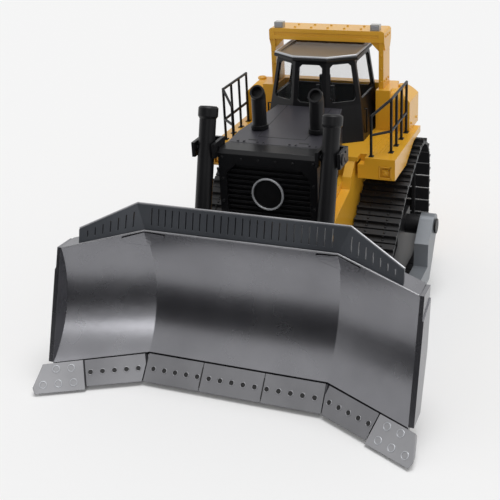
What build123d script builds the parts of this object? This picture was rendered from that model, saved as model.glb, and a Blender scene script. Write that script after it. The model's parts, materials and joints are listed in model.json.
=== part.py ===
"""A 1:50 display model of a large high-drive bulldozer with a U blade and a single-shank ripper.

Millimetres. +X is the machine's left side, -Y its front, +Z up. The origin is on the ground, under
the middle of the model's length. Each sub-part is one solid, or a few like solids, in its own file.
"""
from build123d import *
from math import atan2, copysign, cos, degrees, hypot, pi, radians, sin, tan
import os

os.makedirs("parts", exist_ok=True)

# --- Clearances ---
fit_gap = 0.1  # around a pin in its bore, on each side
slide_gap = 0.2  # around a rod in its barrel, on each side
running_gap = 0.3  # between pieces that turn past each other

# --- Widths, from the middle outward: guard and chassis, side frames, tracks, push arms ---
guard_half_width = 17.2
side_frame_thickness = 3.2
track_gap = 0.4  # from the side frames to the shoes

# --- Track loop: the wheels that carry it, each radius out to the grouser tips ---
shoe_width = 16.2
track_x = guard_half_width + side_frame_thickness + track_gap + shoe_width / 2
shoe_count = 39
shoe_gap = 0.5
shoe_plate = 0.8
shoe_seat = 0.3  # depth that the links are let into a shoe's underside
grouser_height = 1.3
grouser_foot = 1.1
grouser_tip = 0.6
link_height = 1.9
link_spacing = 4.4
link_thickness = 1.2
idler_tip_radius = 12.0
front_idler_y = -13.0
rear_idler_y = 38.0
sprocket_y, sprocket_z, sprocket_tip_radius = 36.0, 40.0, 14.0
carrier_y, carrier_z, carrier_tip_radius = 14.3, 39.9, 6.0

# --- Wheels inside the loop ---
sprocket_teeth = 13
sprocket_tooth_depth = 1.2
hub_radius = 6.0
hub_reach = 3.2
hub_chamfer = 0.6
idler_width = 5.6
idler_rim = 2.2
idler_recess = 0.8
axle_radius = 1.6
roller_radius = 3.2
roller_count = 5

# --- Track frame ---
frame_bottom_z = 6.2
frame_top_z = 15.0
frame_width = 9.6
frame_plate = 1.4
cross_bar = 4.0

# --- Chassis ---
chassis_half_width = guard_half_width
chassis_rear_y = 53.0
chassis_bottom_z = 8.0
chassis_top_z = 50.0
base_screw_radius = 1.25
base_screw_depth = 7.0
base_screw_y = (-8.0, 32.0)

# --- Radiator guard and hood ---
guard_front_y = -30.0
guard_depth = 8.0
guard_top_z = 68.0
guard_bottom_z = 30.0
grille_half_width = 14.6
grille_top_z = 63.4
grille_bottom_z = 36.0
grille_corner = 3.4
grille_depth = 2.4
louvre_count = 15
louvre_thickness = 0.8
louvre_depth = 1.6
yoke_width = 8.4
yoke_outer_x = guard_half_width + yoke_width
yoke_plate = 1.1
yoke_height = 5.0
hood_rear_z = 70.5
hood_rear_half_width = 12.2
hood_wide_y = -12.0
badge_z = 53.9
badge_radius = 5.6
badge_ring = 0.7
badge_depth = 1.2

# --- Deck, fenders and tank ---
deck_z = 57.4
deck_front_y = 1.6
fender_gap = 1.0  # from the side frames to the fenders
fender_inner_x = chassis_half_width + side_frame_thickness + fender_gap
fender_outer_x = 34.7
fender_drop = 7.6
fender_notch = 2.5
fender_notch_depth = 4.0
deck_thickness = 1.6
lamp_x, lamp_z = 31.2, 52.5
lamp_size = 4.4
lamp_lens = 2.0
lamp_depth = 0.8
lamp_proud = 0.6
tank_bay_x = 19.6
tank_bay_y = 43.0
tank_front_y = 32.7
tank_rear_y = 47.0
fender_rear_y = 41.0
tank_top_z = 72.6
tank_outer_x = 32.4
tank_round = 4.6
tank_shoulder_x, tank_shoulder_z = 28.4, 68.6
pedestal_x = 25.0  # outer side of the block under each post of the rollover frame

# --- Rollover frame ---
rops_front_y = 34.7
rops_rear_y = 44.8
rops_top_z = 94.0
rops_beam = 4.2
rops_post_inner = 20.1
rops_post_width = 1.8
rops_end_plate = 0.4
rops_end_drop = 3.0  # that the plate on each end hangs below the beam
rops_round = 1.0
rops_groove = 1.2
rops_groove_depth = 0.3
rops_gusset = 3.4
rops_gusset_thickness = 1.2
rops_lamp_x = 18.6
rops_lamp = (3.4, 2.6, 3.8)

# --- Cab ---
cab_front_y = 14.3
cab_wall = 1.0
rops_roof_gap = 1.4  # from the roof to the rollover frame's beam
cab_roof_z = rops_top_z - rops_beam - rops_roof_gap
cab_sill_z = 70.5
cab_rear_y = 42.0
roof_thickness = 1.6
roof_overhang = 0.6
roof_rim = 0.9
roof_recess = 0.5
door_slope = 0.651  # of the doors' walls, in plan
window_frame = 1.5
window_corner = 1.0
window_cut = 5.0
glass_thickness = 0.4

# --- Exhausts ---
exhaust_x = 10.4
exhaust_y = -8.6
exhaust_radius = 2.5
exhaust_bore = 1.9
exhaust_bend_z = 79.5
exhaust_bend_radius = 3.6
exhaust_bend_angle = 55.0
exhaust_bore_depth = 2.4
exhaust_collar = 0.5
exhaust_collar_height = 1.4

# --- Blade linkage ---
trunnion_y, trunnion_z = 24.0, 24.5
trunnion_radius = 2.2
trunnion_cap_radius = 2.8
trunnion_cap = 0.5
arm_gap = 2.2  # from the shoes to the push arms
arm_inner_x = track_x + shoe_width / 2 + arm_gap
arm_width = 5.2
arm_boss_radius = 4.6
arm_front_y = -59.5
arm_bottom_z = 6.5
arm_top_z = 13.0

# --- Blade ---
crease_x = 30.03  # at the ground; the crease leans out as it rises
crease_lean = 2.6
edge_crease_x = 30.26
wing_x = 58.6
blade_skin = 2.0
edge_thickness = 1.5
edge_bottom_z = 1.6
edge_seam = 30.5
edge_corner = 1.2
bit_thickness = 1.8
bit_bottom_z = 1.0
end_plate_thickness = 1.3
end_wear_thickness = 0.4
flange_depth = 8.0
flange_thickness = 1.6
beam_rear_y = -50.8
rib_x = (-28.5, -14.0, 0.0, 14.0, 28.5)
rib_thickness = 1.4
spill_setback = 0.8
spill_thickness = 1.2
spill_height = 8.2
spill_lean = 0.27
spill_crease_lean = 22.7
spill_end_x = 53.2
spill_end_height = 4.4
slot_pitch = 2.4
slot_width = 0.4
slot_foot = 1.3
slot_end_x = 50.4

# --- Lift cylinders: trunnion on the guard, rod eye on the blade's back ---
lift_x = guard_half_width + yoke_width / 2
lift_trunnion_y, lift_trunnion_z = -29.6, 68.0
lift_eye_y, lift_eye_z = -45.1, 16.0
lift_barrel_radius = 2.8
lift_bore_radius = 1.6
lift_rod_radius = 1.4
lift_head_length = 13.7
lift_tail_length = 24.0
lift_bore_depth = 21.0
lift_rod_overlap = 2.0  # of the rod inside the barrel, with the blade down
lift_eye_radius = 2.4
lift_eye_width = 2.6
lift_pin_radius = 1.0
barrel_rim = 0.3
barrel_rim_length = 1.2
lug_thickness = 1.2
lug_pad = 0.8
eye_gap = 0.35  # round a far pin, where each linkage is opened


# --- Ripper ---
ripper_hinge_y, ripper_hinge_z = 58.0, 24.0
ripper_lug_x = 9.0
ripper_lug_width = 2.6
ripper_head_y, ripper_head_z = 57.5, 44.0
ripper_eye_y, ripper_eye_z = 76.0, 30.0
ripper_cylinder_x = 5.6
ripper_pin_radius = 1.2
ripper_barrel_radius = 2.0
ripper_bore_radius = 1.2
ripper_rod_radius = 1.0
ripper_barrel_length = 14.0
ripper_neck = 3.0
ripper_eye_width = 2.8
ripper_arm_width = 3.0
shank_rear_y = 87.9
shank_tip_z = 7.0
shank_width = 3.0

# --- Handrails ---
rail_radius = 0.5
rail_sides = 8
rail_outer_x = 31.4
rail_inner_x = 25.8
rail_top_z = 76.7
rail_front_z = 72.0
rail_middle_z = 65.2
rail_front_y = 3.4
rail_corner_y = 9.2
rail_post_pitch = 7.5


def prism(plane, points, amount, both=False, mode=Mode.ADD):
    """Extrude a closed outline of straight edges, inside the part that is being built."""
    with BuildSketch(plane) as outline:
        Polygon(*points, align=None)
    extrude(outline.sketch, amount=amount, both=both, mode=mode)


def rod(plane, radius, length, mode=Mode.ADD):
    """Extrude a round bar from a plane, inside the part that is being built."""
    with BuildSketch(plane) as section:
        Circle(radius)
    extrude(section.sketch, amount=length, mode=mode)


def side_plane(x, y=0.0, z=0.0):
    """A plane that faces the machine's left, its first axis to the rear and its second up."""
    return Plane(origin=(x, y, z), x_dir=(0, 1, 0), z_dir=(1, 0, 0))


def save(name, part):
    part.label = name
    export_step(part, f"parts/{name}.step")


# ---------------------------------------------------------------------------------------------
# Tracks
# ---------------------------------------------------------------------------------------------
# columns: y, z, radius to the grouser tips
loop_wheels = (
    (front_idler_y, idler_tip_radius, idler_tip_radius),
    (carrier_y, carrier_z, carrier_tip_radius),
    (sprocket_y, sprocket_z, sprocket_tip_radius),
    (rear_idler_y, idler_tip_radius, idler_tip_radius),
)
plate_inset = grouser_height + shoe_plate
link_inset = plate_inset + link_height


def loop_face(inset):
    """The taut outline round the wheels, that far inside the grouser tips, in side view."""
    with BuildSketch() as outline:
        for y, z, radius in loop_wheels:
            with Locations((y, z)):
                Circle(radius - inset)
        make_hull()
    return outline.sketch.face()


shoe_line = loop_face(plate_inset).outer_wire()
shoe_joints = [shoe_line @ (index / shoe_count) for index in range(shoe_count)]
shoe_half = (shoe_line.length / shoe_count - shoe_gap) / 2
loop_middle = shoe_line.center()


def link_face(inset):
    """The straight-sided loop through the shoes' joints, that far inside the shoes."""
    with BuildSketch() as outline:
        Polygon(*[(joint.X, joint.Y) for joint in shoe_joints], align=None)
        if inset:
            offset(amount=-inset, kind=Kind.INTERSECTION, mode=Mode.REPLACE)
    return outline.sketch.face()


link_inner = link_face(link_height)
link_band = link_face(0) - link_inner


def room_in_links(y, z):
    """The largest radius that a wheel at that place may have inside the links."""
    return link_inner.outer_wire().distance_to(Vertex(y, z, 0)) - slide_gap


shoe_outline = (
    (-shoe_half, -shoe_seat),
    (shoe_half, -shoe_seat),
    (shoe_half, shoe_plate),
    (grouser_foot / 2, shoe_plate),
    (grouser_tip / 2, plate_inset),
    (-grouser_tip / 2, plate_inset),
    (-grouser_foot / 2, shoe_plate),
    (-shoe_half, shoe_plate),
)

with BuildPart() as track:
    for side in (-1, 1):
        with BuildSketch(side_plane(track_x + side * link_spacing / 2)):
            add(link_band)
        extrude(amount=link_thickness / 2, both=True)
    with BuildSketch(side_plane(track_x)):
        for start, end in zip(shoe_joints, shoe_joints[1:] + shoe_joints[:1]):
            foot = (start + end) / 2
            outward = Vector(end.Y - start.Y, start.X - end.X)
            if outward.dot(foot - loop_middle) < 0:
                outward = -outward
            turn = degrees(atan2(outward.Y, outward.X)) - 90
            with Locations(Location((foot.X, foot.Y), turn)):
                Polygon(*shoe_outline, align=None)
    extrude(amount=shoe_width / 2, both=True)

# one tooth of the sprocket. Columns: share of a tooth's pitch, radius
tooth_root = sprocket_tip_radius - link_inset - running_gap
tooth_profile = (
    (-0.30, tooth_root),
    (-0.13, tooth_root + sprocket_tooth_depth),
    (0.13, tooth_root + sprocket_tooth_depth),
    (0.30, tooth_root),
)
tooth_turn = 2 * pi / sprocket_teeth
tooth_points = [
    (radius * cos((tooth + share) * tooth_turn), radius * sin((tooth + share) * tooth_turn))
    for tooth in range(sprocket_teeth)
    for share, radius in tooth_profile
]
with BuildPart() as sprocket:
    prism(side_plane(track_x, sprocket_y, sprocket_z), tooth_points,
          link_spacing / 2 - link_thickness / 2 - running_gap, both=True)
    rod(side_plane(track_x, sprocket_y, sprocket_z), hub_radius, hub_reach)
    rod(side_plane(chassis_half_width, sprocket_y, sprocket_z), hub_radius, track_x - chassis_half_width)
    chamfer(sprocket.edges().filter_by(GeomType.CIRCLE).group_by(Axis.X)[-1], length=hub_chamfer)

# side view of the track frame, front to rear along the bottom and back along the top
frame_outline = (
    (front_idler_y - 3.5, frame_bottom_z + 2.4),
    (front_idler_y + 4.0, frame_bottom_z),
    (rear_idler_y - 4.0, frame_bottom_z),
    (rear_idler_y + 3.5, frame_bottom_z + 2.4),
    (rear_idler_y + 3.5, frame_top_z),
    (trunnion_y + 8.0, frame_top_z + 3.0),
    (trunnion_y + 5.0, trunnion_z + 5.0),
    (carrier_y + 5.0, trunnion_z + 4.0),
    (carrier_y + 2.2, carrier_z + 1.4),
    (carrier_y - 2.2, carrier_z + 1.4),
    (carrier_y - 4.0, frame_top_z + 6.0),
    (front_idler_y + 12.0, frame_top_z + 1.5),
    (front_idler_y - 3.5, frame_top_z),
)
idler_radius = room_in_links(front_idler_y, idler_tip_radius)
carrier_radius = room_in_links(carrier_y, carrier_z)
roller_z = link_inset + slide_gap + roller_radius
roller_first_y = front_idler_y + idler_radius + roller_radius + 0.8
roller_last_y = rear_idler_y - idler_radius - roller_radius - 0.8
fork_width = frame_width - 2 * frame_plate
fork_length = idler_radius + 1.0
plate_x = frame_width / 2

with BuildPart() as track_frame:
    prism(side_plane(track_x), frame_outline, plate_x, both=True)
    # the forks for the idlers, the slot for the carrier roller
    for y, length in ((front_idler_y, fork_length), (rear_idler_y, -fork_length)):
        with Locations((track_x, y + length / 2 - length, idler_tip_radius)):
            Box(fork_width, 3 * fork_length, 4 * idler_tip_radius, mode=Mode.SUBTRACT)
    with Locations((track_x, carrier_y, carrier_z)):
        Box(fork_width, 4 * carrier_radius + 4, 2 * carrier_radius + 1, mode=Mode.SUBTRACT)
    for index in range(roller_count):
        y = roller_first_y + (roller_last_y - roller_first_y) * index / (roller_count - 1)
        with BuildSketch(side_plane(track_x, y, roller_z)):
            Circle(roller_radius)
        extrude(amount=fork_width / 2, both=True)
    for y in (front_idler_y, rear_idler_y):
        with BuildSketch(side_plane(track_x, y, idler_tip_radius)):
            Circle(idler_radius)
        extrude(amount=idler_width / 2, both=True)
        with BuildSketch(side_plane(track_x + idler_width / 2, y, idler_tip_radius)):
            Circle(idler_radius - idler_rim)
        extrude(amount=-idler_recess, mode=Mode.SUBTRACT)
        with BuildSketch(side_plane(track_x, y, idler_tip_radius)):
            Circle(axle_radius)
        extrude(amount=fork_width / 2, both=True)
    with BuildSketch(side_plane(track_x, carrier_y, carrier_z)):
        Circle(carrier_radius)
    extrude(amount=fork_width / 2, both=True)
    # outboard trunnion that carries the push arm, with its cap
    rod(side_plane(track_x + plate_x, trunnion_y, trunnion_z), arm_boss_radius - 1.0,
        arm_inner_x - running_gap - track_x - plate_x)
    rod(side_plane(track_x, trunnion_y, trunnion_z), trunnion_radius,
        arm_inner_x + arm_width + running_gap - track_x)
    rod(side_plane(arm_inner_x + arm_width + running_gap, trunnion_y, trunnion_z), trunnion_cap_radius,
        trunnion_cap)
    # pivot shaft and equalizer bar, inward to the chassis
    for y, z in ((trunnion_y, trunnion_z), (front_idler_y + 11.0, frame_top_z - 1.5)):
        with Locations(((chassis_half_width + track_x - plate_x) / 2, y, z)):
            Box(track_x - plate_x - chassis_half_width, cross_bar, cross_bar)

# ---------------------------------------------------------------------------------------------
# Chassis, guard and hood
# ---------------------------------------------------------------------------------------------
guard_back_y = guard_front_y + guard_depth
deck_bottom_z = deck_z - deck_thickness
chassis_outline = (
    (guard_back_y, chassis_bottom_z + 8.0),
    (guard_back_y + 8.0, chassis_bottom_z),
    (chassis_rear_y - 9.0, chassis_bottom_z),
    (chassis_rear_y, chassis_bottom_z + 7.0),
    (chassis_rear_y, chassis_top_z),
    (tank_rear_y, deck_bottom_z),
    (deck_front_y, deck_bottom_z),
    (deck_front_y, chassis_top_z),
    (guard_back_y, chassis_top_z),
)
with BuildPart() as chassis:
    prism(side_plane(0), chassis_outline, chassis_half_width, both=True)
    for y in base_screw_y:
        rod(Plane.XY.offset(chassis_bottom_z).move(Location((0, y, 0))), base_screw_radius,
            base_screw_depth, mode=Mode.SUBTRACT)

hub_clear_z = sprocket_z + hub_radius + 0.6
side_outline = (
    (guard_front_y + 2.0, guard_bottom_z),
    (guard_front_y + 2.0, 41.5),
    (-17.0, 44.6),
    (-4.5, 47.5),
    (-2.9, 51.5),
    (deck_front_y, deck_bottom_z),
    (chassis_rear_y - 20.0, deck_bottom_z),
    (chassis_rear_y - 20.0, hub_clear_z),
    (sprocket_y - hub_radius - 1.0, hub_clear_z),
    (sprocket_y - hub_radius - 1.0, guard_bottom_z),
)
with BuildPart() as side_frame:
    prism(side_plane(chassis_half_width), side_outline, side_frame_thickness)

with BuildPart() as radiator_guard:
    with BuildSketch(Plane.XZ.offset(-guard_front_y)):
        with Locations((0, (guard_top_z + guard_bottom_z) / 2)):
            Rectangle(2 * guard_half_width, guard_top_z - guard_bottom_z)
    extrude(amount=-guard_depth)
    chamfer(radiator_guard.edges().filter_by(Axis.X).group_by(Axis.Y)[0].sort_by(Axis.Z)[-1], length=1.2)
    with BuildSketch(Plane.XZ.offset(-guard_front_y)):
        with BuildLine():
            Polyline(
                (-grille_half_width, grille_bottom_z),
                (grille_half_width, grille_bottom_z),
                (grille_half_width, grille_top_z - grille_corner),
                (grille_half_width - grille_corner, grille_top_z),
                (grille_corner - grille_half_width, grille_top_z),
                (-grille_half_width, grille_top_z - grille_corner),
                close=True,
            )
        make_face()
    extrude(amount=-grille_depth, mode=Mode.SUBTRACT)
    for index in range(louvre_count):
        z = grille_bottom_z + (grille_top_z - grille_bottom_z) * (index + 0.6) / louvre_count
        corner_reach = grille_half_width - (z + louvre_thickness - grille_top_z + grille_corner)
        reach = min(grille_half_width, corner_reach)
        with Locations((0, guard_front_y + grille_depth - louvre_depth / 2, z)):
            Box(2 * reach + 0.2, louvre_depth, louvre_thickness)

# the pair of yokes on the guard's sides that carry the lift cylinders' trunnions
with BuildPart() as lift_yokes:
    for side in (-1, 1):
        middle_x = (guard_half_width + yoke_outer_x) / 2
        with Locations((side * middle_x, lift_trunnion_y + 5.6, lift_trunnion_z)):
            Box(yoke_outer_x - guard_half_width, yoke_plate, yoke_height)
        for x in (guard_half_width + yoke_plate / 2, yoke_outer_x - yoke_plate / 2):
            with Locations((side * x, lift_trunnion_y + 1.8, lift_trunnion_z)):
                Box(yoke_plate, 7.6 + yoke_plate, yoke_height)
    with BuildSketch(side_plane(0, lift_trunnion_y, lift_trunnion_z)):
        Circle(lift_pin_radius + fit_gap)
    extrude(amount=yoke_outer_x + 1, both=True, mode=Mode.SUBTRACT)

with BuildPart() as badge:
    with BuildSketch(Plane.XZ.offset(-(guard_front_y + grille_depth - louvre_depth))):
        with Locations((0, badge_z)):
            Circle(badge_radius)
    extrude(amount=badge_depth)
    with BuildSketch(Plane.XZ.offset(-(guard_front_y + grille_depth - louvre_depth - badge_depth))):
        with Locations((0, badge_z)):
            Circle(badge_radius - badge_ring)
    extrude(amount=-badge_ring, mode=Mode.SUBTRACT)

with BuildPart() as hood:
    prism(
        Plane.XY.offset(chassis_top_z),
        (
            (-guard_half_width + 0.3, guard_back_y),
            (guard_half_width - 0.3, guard_back_y),
            (guard_half_width - 0.3, hood_wide_y),
            (hood_rear_half_width, cab_front_y),
            (-hood_rear_half_width, cab_front_y),
            (0.3 - guard_half_width, hood_wide_y),
        ),
        hood_rear_z - chassis_top_z,
    )
    # the top falls gently to the guard
    prism(
        side_plane(0),
        ((guard_back_y, guard_top_z), (cab_front_y, hood_rear_z), (guard_back_y, hood_rear_z)),
        guard_half_width,
        both=True,
        mode=Mode.SUBTRACT,
    )
    # rear part stands on the deck
    prism(
        side_plane(0),
        (
            (deck_front_y, chassis_top_z),
            (cab_front_y, chassis_top_z),
            (cab_front_y, deck_z),
            (deck_front_y, deck_z),
        ),
        guard_half_width,
        both=True,
        mode=Mode.SUBTRACT,
    )

hood_slope = (hood_rear_z - guard_top_z) / (cab_front_y - guard_back_y)
exhaust_foot_z = guard_top_z + hood_slope * (exhaust_y + exhaust_radius - guard_back_y)
exhaust_lean = radians(exhaust_bend_angle)
exhaust_knee = exhaust_bend_radius * tan(exhaust_lean / 4)
mouth_y = exhaust_y - exhaust_bend_radius * (1 - cos(exhaust_lean))
mouth_z = exhaust_bend_z + exhaust_bend_radius * sin(exhaust_lean)
with BuildPart() as exhaust:
    with BuildLine(side_plane(exhaust_x)) as pipe:
        Polyline(
            (exhaust_y, exhaust_foot_z),
            (exhaust_y, exhaust_bend_z + exhaust_knee),
            (mouth_y + exhaust_knee * sin(exhaust_lean), mouth_z - exhaust_knee * cos(exhaust_lean)),
            (mouth_y, mouth_z),
        )
    with BuildSketch(Plane(origin=pipe.line @ 0, z_dir=pipe.line % 0)):
        Circle(exhaust_radius)
    sweep(path=pipe.line, transition=Transition.RIGHT)
    foot_plane = Plane(origin=(exhaust_x, exhaust_y, exhaust_foot_z))
    rod(foot_plane, exhaust_radius + exhaust_collar, exhaust_collar_height)
    with BuildSketch(Plane(origin=pipe.line @ 1, z_dir=-(pipe.line % 1))):
        Circle(exhaust_bore)
    extrude(amount=exhaust_bore_depth, mode=Mode.SUBTRACT)

# ---------------------------------------------------------------------------------------------
# Deck, fenders, tank, rollover frame and rails
# ---------------------------------------------------------------------------------------------
with BuildPart() as deck:
    prism(
        Plane.XY.offset(deck_bottom_z),
        (
            (-fender_inner_x, deck_front_y),
            (fender_inner_x, deck_front_y),
            (fender_inner_x, tank_rear_y),
            (-fender_inner_x, tank_rear_y),
        ),
        deck_thickness,
    )

fender_outline = (
    (deck_front_y, deck_z - fender_drop),
    (deck_front_y, deck_z),
    (fender_rear_y, deck_z),
    (fender_rear_y, sprocket_z + sprocket_tip_radius + 1.0),
    (sprocket_y - 6.0, sprocket_z + sprocket_tip_radius + 1.0),
    (sprocket_y - 18.0, deck_z - fender_drop),
)
with BuildPart() as fender:
    prism(side_plane(fender_inner_x), fender_outline, fender_outer_x - fender_inner_x)
    with Locations((fender_inner_x, deck_front_y, deck_z)):
        Box(2 * fender_notch, 2 * fender_notch_depth, 2 * fender_notch, mode=Mode.SUBTRACT)
    for size, depth, mode in ((lamp_size, -lamp_depth, Mode.SUBTRACT), (lamp_lens, lamp_proud, Mode.ADD)):
        with BuildSketch(Plane.XZ.offset(-(deck_front_y + (lamp_depth if mode == Mode.ADD else 0)))):
            with Locations((lamp_x, lamp_z)):
                Rectangle(size, size)
        extrude(amount=depth, mode=mode)

with BuildPart() as fuel_tank:
    with BuildSketch(side_plane(0)):
        with BuildLine():
            Polyline(
                (tank_front_y, tank_top_z - tank_round),
                (tank_front_y, deck_z),
                (tank_rear_y, deck_z),
                (tank_rear_y, tank_top_z - tank_round),
            )
            for start, end in (
                ((tank_rear_y, tank_top_z - tank_round), (tank_rear_y - tank_round, tank_top_z)),
                ((tank_front_y + tank_round, tank_top_z), (tank_front_y, tank_top_z - tank_round)),
            ):
                RadiusArc(start, end, -tank_round)
            Line((tank_rear_y - tank_round, tank_top_z), (tank_front_y + tank_round, tank_top_z))
        make_face()
    extrude(amount=tank_outer_x, both=True)
    prism(
        Plane.XZ,
        (
            (-tank_outer_x, deck_z),
            (tank_outer_x, deck_z),
            (tank_outer_x, tank_shoulder_z),
            (tank_shoulder_x, tank_top_z),
            (-tank_shoulder_x, tank_top_z),
            (-tank_outer_x, tank_shoulder_z),
        ),
        2 * tank_rear_y,
        both=True,
        mode=Mode.INTERSECT,
    )
    # square blocks under the posts of the rollover frame
    with Locations((0, tank_front_y, deck_z)):
        Box(2 * pedestal_x, tank_rear_y - tank_front_y, tank_top_z - deck_z,
            align=(Align.CENTER, Align.MIN, Align.MIN))
    # the cab stands in a bay between the tank's two shoulders
    with Locations((0, tank_front_y, deck_z)):
        Box(2 * tank_bay_x, tank_bay_y - tank_front_y, tank_top_z, align=(Align.CENTER, Align.MIN, Align.MIN),
            mode=Mode.SUBTRACT)

rops_half_width = rops_post_inner + rops_post_width
rops_beam_foot = rops_top_z - rops_beam
rops_middle_y = (rops_front_y + rops_rear_y) / 2
with BuildPart() as rops:
    with Locations((0, rops_middle_y, rops_top_z)):
        Box(2 * (rops_half_width + rops_end_plate), rops_rear_y - rops_front_y, rops_beam,
            align=(Align.CENTER, Align.CENTER, Align.MAX))
    fillet(rops.edges().filter_by(Axis.Y).group_by(Axis.Z)[-1], radius=rops_round)
    with Locations((0, rops_front_y, rops_beam_foot + rops_beam / 2)):
        Box(2 * rops_post_inner, 2 * rops_groove_depth, rops_groove, mode=Mode.SUBTRACT)
    for side in (-1, 1):
        with Locations((side * (rops_post_inner + rops_post_width / 2), rops_middle_y, tank_top_z)):
            Box(rops_post_width, rops_rear_y - rops_front_y - 1.0, rops_beam_foot - tank_top_z,
                align=(Align.CENTER, Align.CENTER, Align.MIN))
        prism(
            Plane.XZ.offset(-rops_front_y - 1.0),
            (
                (side * rops_post_inner, rops_beam_foot),
                (side * (rops_post_inner - rops_gusset), rops_beam_foot),
                (side * rops_post_inner, rops_beam_foot - rops_gusset),
            ),
            -rops_gusset_thickness,
        )
        prism(
            side_plane(side * rops_half_width),
            (
                (rops_front_y, rops_beam_foot),
                (rops_rear_y, rops_beam_foot),
                (rops_rear_y - rops_end_drop / 2, rops_beam_foot - rops_end_drop),
                (rops_front_y + rops_end_drop / 2, rops_beam_foot - rops_end_drop),
            ),
            side * rops_end_plate,
        )
        with Locations((side * rops_lamp_x, rops_front_y + 0.6, rops_top_z)):
            Box(*rops_lamp, align=(Align.CENTER, Align.MIN, Align.MIN))


def rail(*points):
    """Bars along straight runs, each let half its thickness into the next."""
    for start, end in zip(points, points[1:]):
        start, end = Vector(*start), Vector(*end)
        along = (end - start).normalized()
        with BuildSketch(Plane(origin=start, z_dir=along)) as section:
            RegularPolygon(rail_radius, rail_sides)
        extrude(section.sketch, amount=(end - start).length + rail_radius / 2)


with BuildPart() as handrail:
    for front_z, z in ((rail_front_z, rail_top_z), (rail_middle_z, rail_middle_z)):
        rail(
            (rail_inner_x, rail_front_y, front_z),
            (rail_outer_x, rail_corner_y, z),
            (rail_outer_x, rail_corner_y + 3 * rail_post_pitch, z),
        )
    rail((rail_inner_x, rail_front_y, deck_z), (rail_inner_x, rail_front_y, rail_front_z))
    for index in range(4):
        y = rail_corner_y + index * rail_post_pitch
        rail((rail_outer_x, y, deck_z), (rail_outer_x, y, rail_top_z - rail_radius / 2))

# ---------------------------------------------------------------------------------------------
# Cab
# ---------------------------------------------------------------------------------------------
# columns: height, half-width and y of the front wall, half-width of the side walls
cab_levels = (
    (deck_z, 12.2, cab_front_y, 18.9),
    (cab_sill_z, 6.3, cab_front_y, 17.2),
    (cab_roof_z - roof_thickness, 5.7, 17.0, 14.6),
)


def cab_outline(level):
    """The cab's plan at one level, from the front wall's right corner round by the left side."""
    z, front_x, front_y, side_x = level
    side_y = front_y + door_slope * (side_x - front_x)
    return (
        (-front_x, front_y, z),
        (front_x, front_y, z),
        (side_x, side_y, z),
        (side_x, cab_rear_y, z),
        (-side_x, cab_rear_y, z),
        (-side_x, side_y, z),
    )


def cab_section(level, inset):
    """That plan as a face, drawn in or let out all round."""
    with BuildSketch(Plane.XY.offset(level[0])) as section:
        Polygon(*[point[:2] for point in cab_outline(level)], align=None)
        if inset:
            offset(amount=-inset, kind=Kind.INTERSECTION, mode=Mode.REPLACE)
    return section.sketch


def cab_body(inset, mode=Mode.ADD):
    """Loft the cab's walls through their three levels."""
    sections = [cab_section(level, inset) for level in cab_levels]
    for lower, upper in zip(sections, sections[1:]):
        loft([lower, upper], ruled=True, mode=mode)


def cab_windows(thickness, trim, mode):
    """The six window openings above the sill, or with a small trim the panes that fill them."""
    sill, head = cab_outline(cab_levels[1]), cab_outline(cab_levels[2])
    for near, far, far_head, near_head in zip(sill, sill[1:] + sill[:1], head[1:] + head[:1], head):
        corners = [Vector(*point) for point in (near, far, far_head, near_head)]
        along = corners[1] - corners[0]
        middle = (corners[0] + corners[1] + corners[2] + corners[3]) / 4
        outward = along.cross(corners[2] + corners[3] - corners[0] - corners[1]).normalized()
        wall = Plane(origin=middle - outward * cab_wall / 2, x_dir=along, z_dir=outward)
        with BuildSketch(wall) as opening:
            local = [wall.to_local_coords(corner) for corner in corners]
            Polygon(*[(point.X, point.Y) for point in local], align=None)
            offset(amount=-window_frame - trim, kind=Kind.INTERSECTION, mode=Mode.REPLACE)
            chamfer(opening.vertices(), window_corner)
        extrude(opening.sketch, amount=thickness / 2, both=True, mode=mode)


with BuildPart() as cab_shell:
    cab_body(0)
    cab_body(cab_wall, mode=Mode.SUBTRACT)
    cab_windows(window_cut, 0, Mode.SUBTRACT)

front_reach = cab_levels[1][1] + window_frame
door_reach = cab_outline(cab_levels[2])[2][1] + window_frame
with BuildPart() as cab_front:
    add(cab_shell.part)
    with Locations((0, door_reach / 2, deck_z)):
        Box(2 * front_reach, door_reach, cab_roof_z, align=(Align.CENTER, Align.CENTER, Align.MIN),
            mode=Mode.INTERSECT)
with BuildPart() as cab_door:
    add(cab_shell.part)
    with Locations((front_reach, 0, deck_z)):
        Box(guard_half_width * 2, door_reach, cab_roof_z, align=Align.MIN, mode=Mode.INTERSECT)
with BuildPart() as cab_rear:
    add(cab_shell.part)
    with Locations((0, door_reach, deck_z)):
        Box(4 * guard_half_width, cab_rear_y, cab_roof_z, align=(Align.CENTER, Align.MIN, Align.MIN),
            mode=Mode.INTERSECT)

with BuildPart() as cab_roof:
    extrude(cab_section(cab_levels[2], -roof_overhang), amount=roof_thickness)
    recess = cab_section(cab_levels[2], roof_rim).moved(Location((0, 0, roof_thickness)))
    extrude(recess, amount=-roof_recess, mode=Mode.SUBTRACT)

with BuildPart() as cab_glass:
    cab_windows(glass_thickness, fit_gap / 2, Mode.ADD)

with BuildPart() as seat:
    with Locations((0, 30.0, deck_z)):
        Box(8.0, 8.0, 7.0, align=(Align.CENTER, Align.CENTER, Align.MIN))
    with Locations((0, 33.2, deck_z + 7.0)):
        Box(7.0, 1.6, 9.0, align=(Align.CENTER, Align.CENTER, Align.MIN))
        Box(4.0, 1.4, 13.0, align=(Align.CENTER, Align.CENTER, Align.MIN))

with BuildPart() as console:
    with Locations((0, 19.5, deck_z)):
        Box(9.0, 3.0, 11.0, align=(Align.CENTER, Align.CENTER, Align.MIN))

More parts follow.
